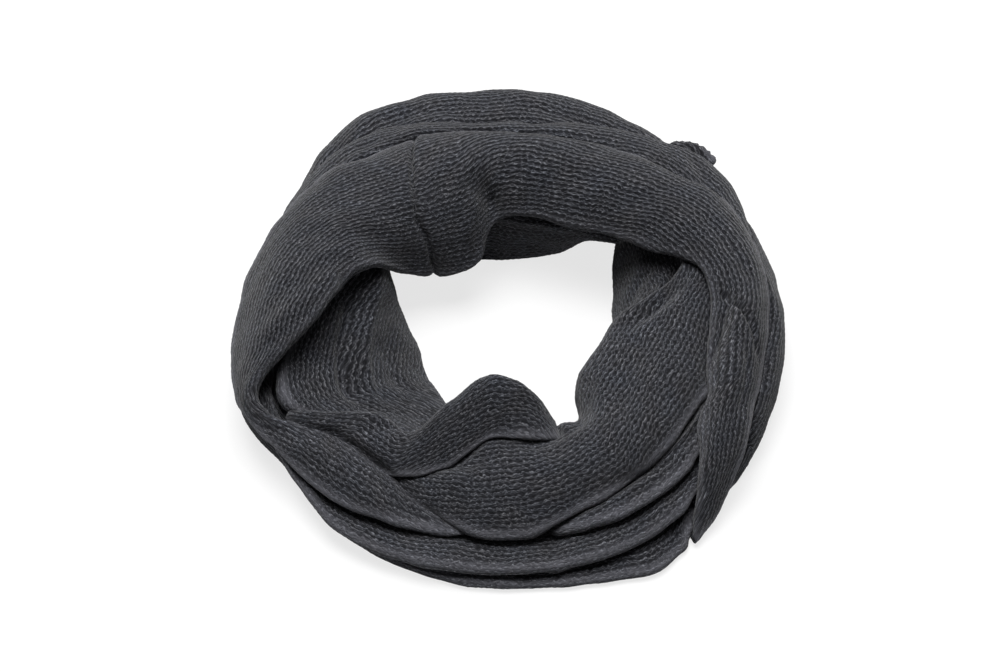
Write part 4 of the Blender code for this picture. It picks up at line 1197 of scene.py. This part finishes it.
def knitted(name, node, grid, closed=False, seam_row=None, ends=(0, 0), tucks=(), bumps=0.0):
    """
    The piece from a grid: each point goes in by its creases, ends and tucks, and out by
    the height of the knit.
    """
    place, r, z, v, across, rim, shows = grid
    points = plan_of(place, r, z)
    u = run_of(points)
    deep = creased(node, points) + sunk(u, ends)
    for tuck in tucks:
        deep = deep + tucked(place, v, across, *tuck)
    points = points + inward(place, r, z) * deep[..., None]
    knit_u = u + drifts(u, v, DRIFT_ALONG)
    knit_v = v + drifts(u, v, DRIFT_ACROSS)
    height = YARN_RELIEF * (stitches(knit_u, knit_v) - MIDDLE_STITCH) + drifts(u, v, UNEVEN)
    height = height + bumps * rim * np.abs(np.sin(math.pi * u / EDGE_STITCH))
    if seam_row is not None:
        height = height - seam_roll(points, seam_row)
    points = points + outward(points) * (height * shows)[..., None]
    points[..., 2] = np.maximum(points[..., 2], LOWEST * shows)
    if closed:
        points[-1], knit_u[-1] = points[0], knit_u[0]
    piece = mesh_piece(name, points, np.stack([knit_u, knit_v], axis=-1), rim, closed)
    piece.data.materials.append(KNIT)
    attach(piece, "root")
    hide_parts(node)
    return piece, points, across


# %% The upper turn, two halves that meet at the seam
turns, loops = sections(UPPER_WRAP, (True, True))
right = wall_grid(turns, loops, turns[0], SEAM_TURN, leaning=True)
tucks = ((True, 3.5, -32, 50),)
piece = knitted("knit_upper_wrap_right", "upper_wrap_right", right, seam_row=-1, tucks=tucks)
left = wall_grid(turns, loops, SEAM_TURN, turns[-1], leaning=True)
tucks = ((False, 7.5, 200, 275), (True, 1.5, 190, 232))
piece = knitted("knit_upper_wrap_left", "upper_wrap_left", left, seam_row=0, ends=(0, 3.0), tucks=tucks)

# %% The stretches below it, from the top one down
PLAIN = (False, False)
OUTER_FOLD = (False, True)
for node, stretch, folded, beyond, ends, rests_on, bumps in (
    ("front_roll", FRONT_ROLL, PLAIN, 0, (3.0, 2.0), "front_panel", 0),
    ("front_panel", FRONT_PANEL, OUTER_FOLD, 0, (0, 0), "front_fold", 0),
    ("front_fold", FRONT_FOLD, OUTER_FOLD, 0, (14.0, 0), "lower_front", 0),
    ("lower_front", LOWER_FRONT, OUTER_FOLD, 9, (0, 0), "hidden_layers", 0),
    ("back_second", BACK_SECOND, OUTER_FOLD, 0, (0, 0), "hidden_layers", 0),
    ("back_inner", BACK_INNER, (True, False), 0, (0, 0), "hidden_layers", 0),
    ("edge_corner", EDGE_CORNER, PLAIN, 0, (0, 0), "hidden_layers", 1.6),
    ("back_outer", BACK_OUTER, PLAIN, 2, (0, 0), "hidden_layers", 0),
    ("right_inner", RIGHT_INNER, PLAIN, 0, (0, 0), "hidden_layers", 0),
    ("left_inner", LEFT_INNER, OUTER_FOLD, 0, (0, 0), "hidden_layers", 0),
    ("bottom_fold", BOTTOM_FOLD, OUTER_FOLD, 16, (0, 0), "hidden_layers", 0),
):
    turns, loops = sections(stretch, folded, beyond)
    grid = wall_grid(turns, loops, turns[0], turns[-1])
    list(knitted("knit_" + node, node, grid, ends=ends, bumps=bumps))

# %% [markdown]
# ## The layers that nothing shows
# Under the stretches the real strip has more layers, which no side shows whole: only
# their edges can be seen, down in the hole. One closed ring stands for them. Its side by
# the hole is layered with three rounded edges, its underside is flat on the surface, and
# it is no sheet, since it stands for many.

# %% The hidden layers
HIDDEN_CLEARANCE = 0.8
HIDDEN_SIDE = 12
HIDDEN_OVER = 14
HIDDEN_EDGES = 3
HIDDEN_BULGE = 2.0
HIDDEN_SHOULDER = 0.2
HIDDEN_LEAN = 3
BASE_COLUMNS = 6
HIDDEN_ROWS = 481
HIDDEN_STEPS = (1.0, 1.9)


def layered_lines(turns):
    """
    Open sections from foot to foot over the top: the side by the hole leans back with the
    cube of its height, and half waves of a sine bulge from it, one a layer.
    """
    in_r, out_r, in_top, mid_top, out_top = along(HIDDEN_LAYERS, turns).T[..., None]
    shoulder = HIDDEN_SHOULDER * (out_r - in_r)
    up = np.linspace(0, 1, HIDDEN_SIDE, endpoint=False)
    edges = HIDDEN_BULGE * np.abs(np.sin(math.pi * HIDDEN_EDGES * up))
    side = np.stack([in_r + shoulder * up**HIDDEN_LEAN - edges, in_top * up], axis=-1)
    corners = (
        np.concatenate([in_r + shoulder, in_top], axis=-1),
        np.concatenate([(in_r + out_r) / 2, mid_top], axis=-1),
        np.concatenate([out_r - shoulder, out_top], axis=-1),
        np.concatenate([out_r + HIDDEN_BULGE, out_top / 2], axis=-1),
        np.concatenate([out_r, 0 * out_r], axis=-1),
    )
    return np.concatenate([side, rounded(np.stack(corners, axis=1), HIDDEN_OVER)], axis=1)


def hidden_grid():
    """The grid round the hidden layers: fine by the hole, coarser over the top, flat below."""
    turns = np.linspace(-180, 180, HIDDEN_ROWS)
    lines = layered_lines(turns)
    lines = splined(lines, 2 * lines[:, :1] - lines[:, 1:2], 2 * lines[:, -1:] - lines[:, -2:-1])
    at = lengths(lines)
    side = at[:, SPLINE_STEPS * HIDDEN_SIDE]
    spans = (side.max(), (at[:, -1] - side).max())
    counts = [int(span / step) for span, step in zip(spans, HIDDEN_STEPS)]
    places = zone_places((0 * side, side, at[:, -1]), counts)
    lines = ceiling.free(turns, resampled(lines, places), HIDDEN_CLEARANCE)
    lines[..., 1] = np.maximum(lines[..., 1], 0)
    lines[:, [0, -1], 1] = 0
    share = np.linspace(0, 1, BASE_COLUMNS + 1)[1:, None]
    base = lines[:, -1:] + share * (lines[:, :1] - lines[:, -1:])
    loops = np.concatenate([lines, base], axis=1)
    columns = loops.shape[1]
    shows = np.zeros(columns)
    shows[1 : columns - BASE_COLUMNS - 1] = 1
    v = lengths(loops)
    flat = 0 * v
    return (turns[:, None] + flat, loops[..., 0], loops[..., 1], v, flat, flat, shows + flat)


piece, points, across = knitted("knit_hidden_layers", "hidden_layers", hidden_grid(), closed=True)
print(f"{piece.name}: {len(piece.data.polygons)} faces, closed all round")

# %% [markdown]
# ## Floor, light and camera
# A plain pale floor and soft light from above and behind, as in a product studio: a wide
# box overhead keeps the floor white right down in the hole, a second one behind lights
# the hairy rims, and a dim world fills the folds a little.

# %% Floor
RETOUCH = 0.76


def white_paper():
    """
    Matt white background paper: even, with no gloss. Seen directly it is mostly plain
    white, as where a studio whitens its background.
    """
    material, tree, paper = new_material("white background paper")
    paper.inputs["Base Color"].default_value = linear("#e6e6e6")
    paper.inputs["Roughness"].default_value = 0.9
    paper.inputs["Specular IOR Level"].default_value = 0.2
    white = add(tree, "Emission", {"Strength": 1.0})
    seen = add(tree, "LightPath").outputs["Is Camera Ray"]
    share = add(tree, "Math", {0: seen, 1: RETOUCH}, operation="MULTIPLY")
    mixed = add(tree, "MixShader", {0: share, 1: paper, 2: white})
    tree.links.new(mixed.outputs[0], tree.nodes["Material Output"].inputs["Surface"])
    return material


FLOOR_SIDE = 4.0
FLOOR_DROP = 0.0004
mesh = bpy.data.meshes.new("floor")
corners = ((-1, -1), (1, -1), (1, 1), (-1, 1))
corners = [(x * FLOOR_SIDE, y * FLOOR_SIDE, -FLOOR_DROP) for x, y in corners]
mesh.from_pydata(corners, [], [(0, 1, 2, 3)])
mesh.materials.append(white_paper())
floor = linked("floor", mesh)
floor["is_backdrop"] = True
print("floor:", 2 * FLOOR_SIDE, "m wide")


# %% Light
def softbox(name, place, target, size, watts):
    """A rectangular area light that faces its target."""
    light = bpy.data.lights.new(name, "AREA")
    light.shape = "RECTANGLE"
    light.size, light.size_y = size
    light.energy = watts
    obj = linked(name, light)
    obj.location = place
    obj.rotation_euler = (Vector(target) - Vector(place)).to_track_quat("-Z", "Y").to_euler()
    return obj


softbox("overhead softbox", place=(-0.1, 0.25, 1.9), target=(0, 0, 0), size=(1.2, 1.2), watts=57.5)
softbox("back softbox", place=(0.05, 1.5, 1.1), target=(0, 0, 0.03), size=(1.8, 0.6), watts=22)
world = bpy.data.worlds.new("studio")
bpy.context.scene.world = world
world.use_nodes = True
sky = world.node_tree.nodes["Background"]
sky.inputs["Color"].default_value = (1, 1, 1, 1)
sky.inputs["Strength"].default_value = 0.11

# %% Camera
TILT = 38
camera = bpy.data.cameras.new("camera")
camera.sensor_width = 36.0
camera.lens = 119.05
camera_object = linked("camera", camera)
camera_object.location = (-0.003, -1.2373, 1.6013)
camera_object.rotation_euler = (math.radians(TILT), 0, 0)
bpy.context.scene.camera = camera_object
bpy.context.scene.view_settings.view_transform = "Standard"
print("camera:", TILT, "degrees off straight down")

# %% Sizes, and the end
boxes = {"cad": cad_box, "visual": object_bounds()}
boxes = {name: [list(map(float, corner)) for corner in box] for name, box in boxes.items()}
print(boxes)
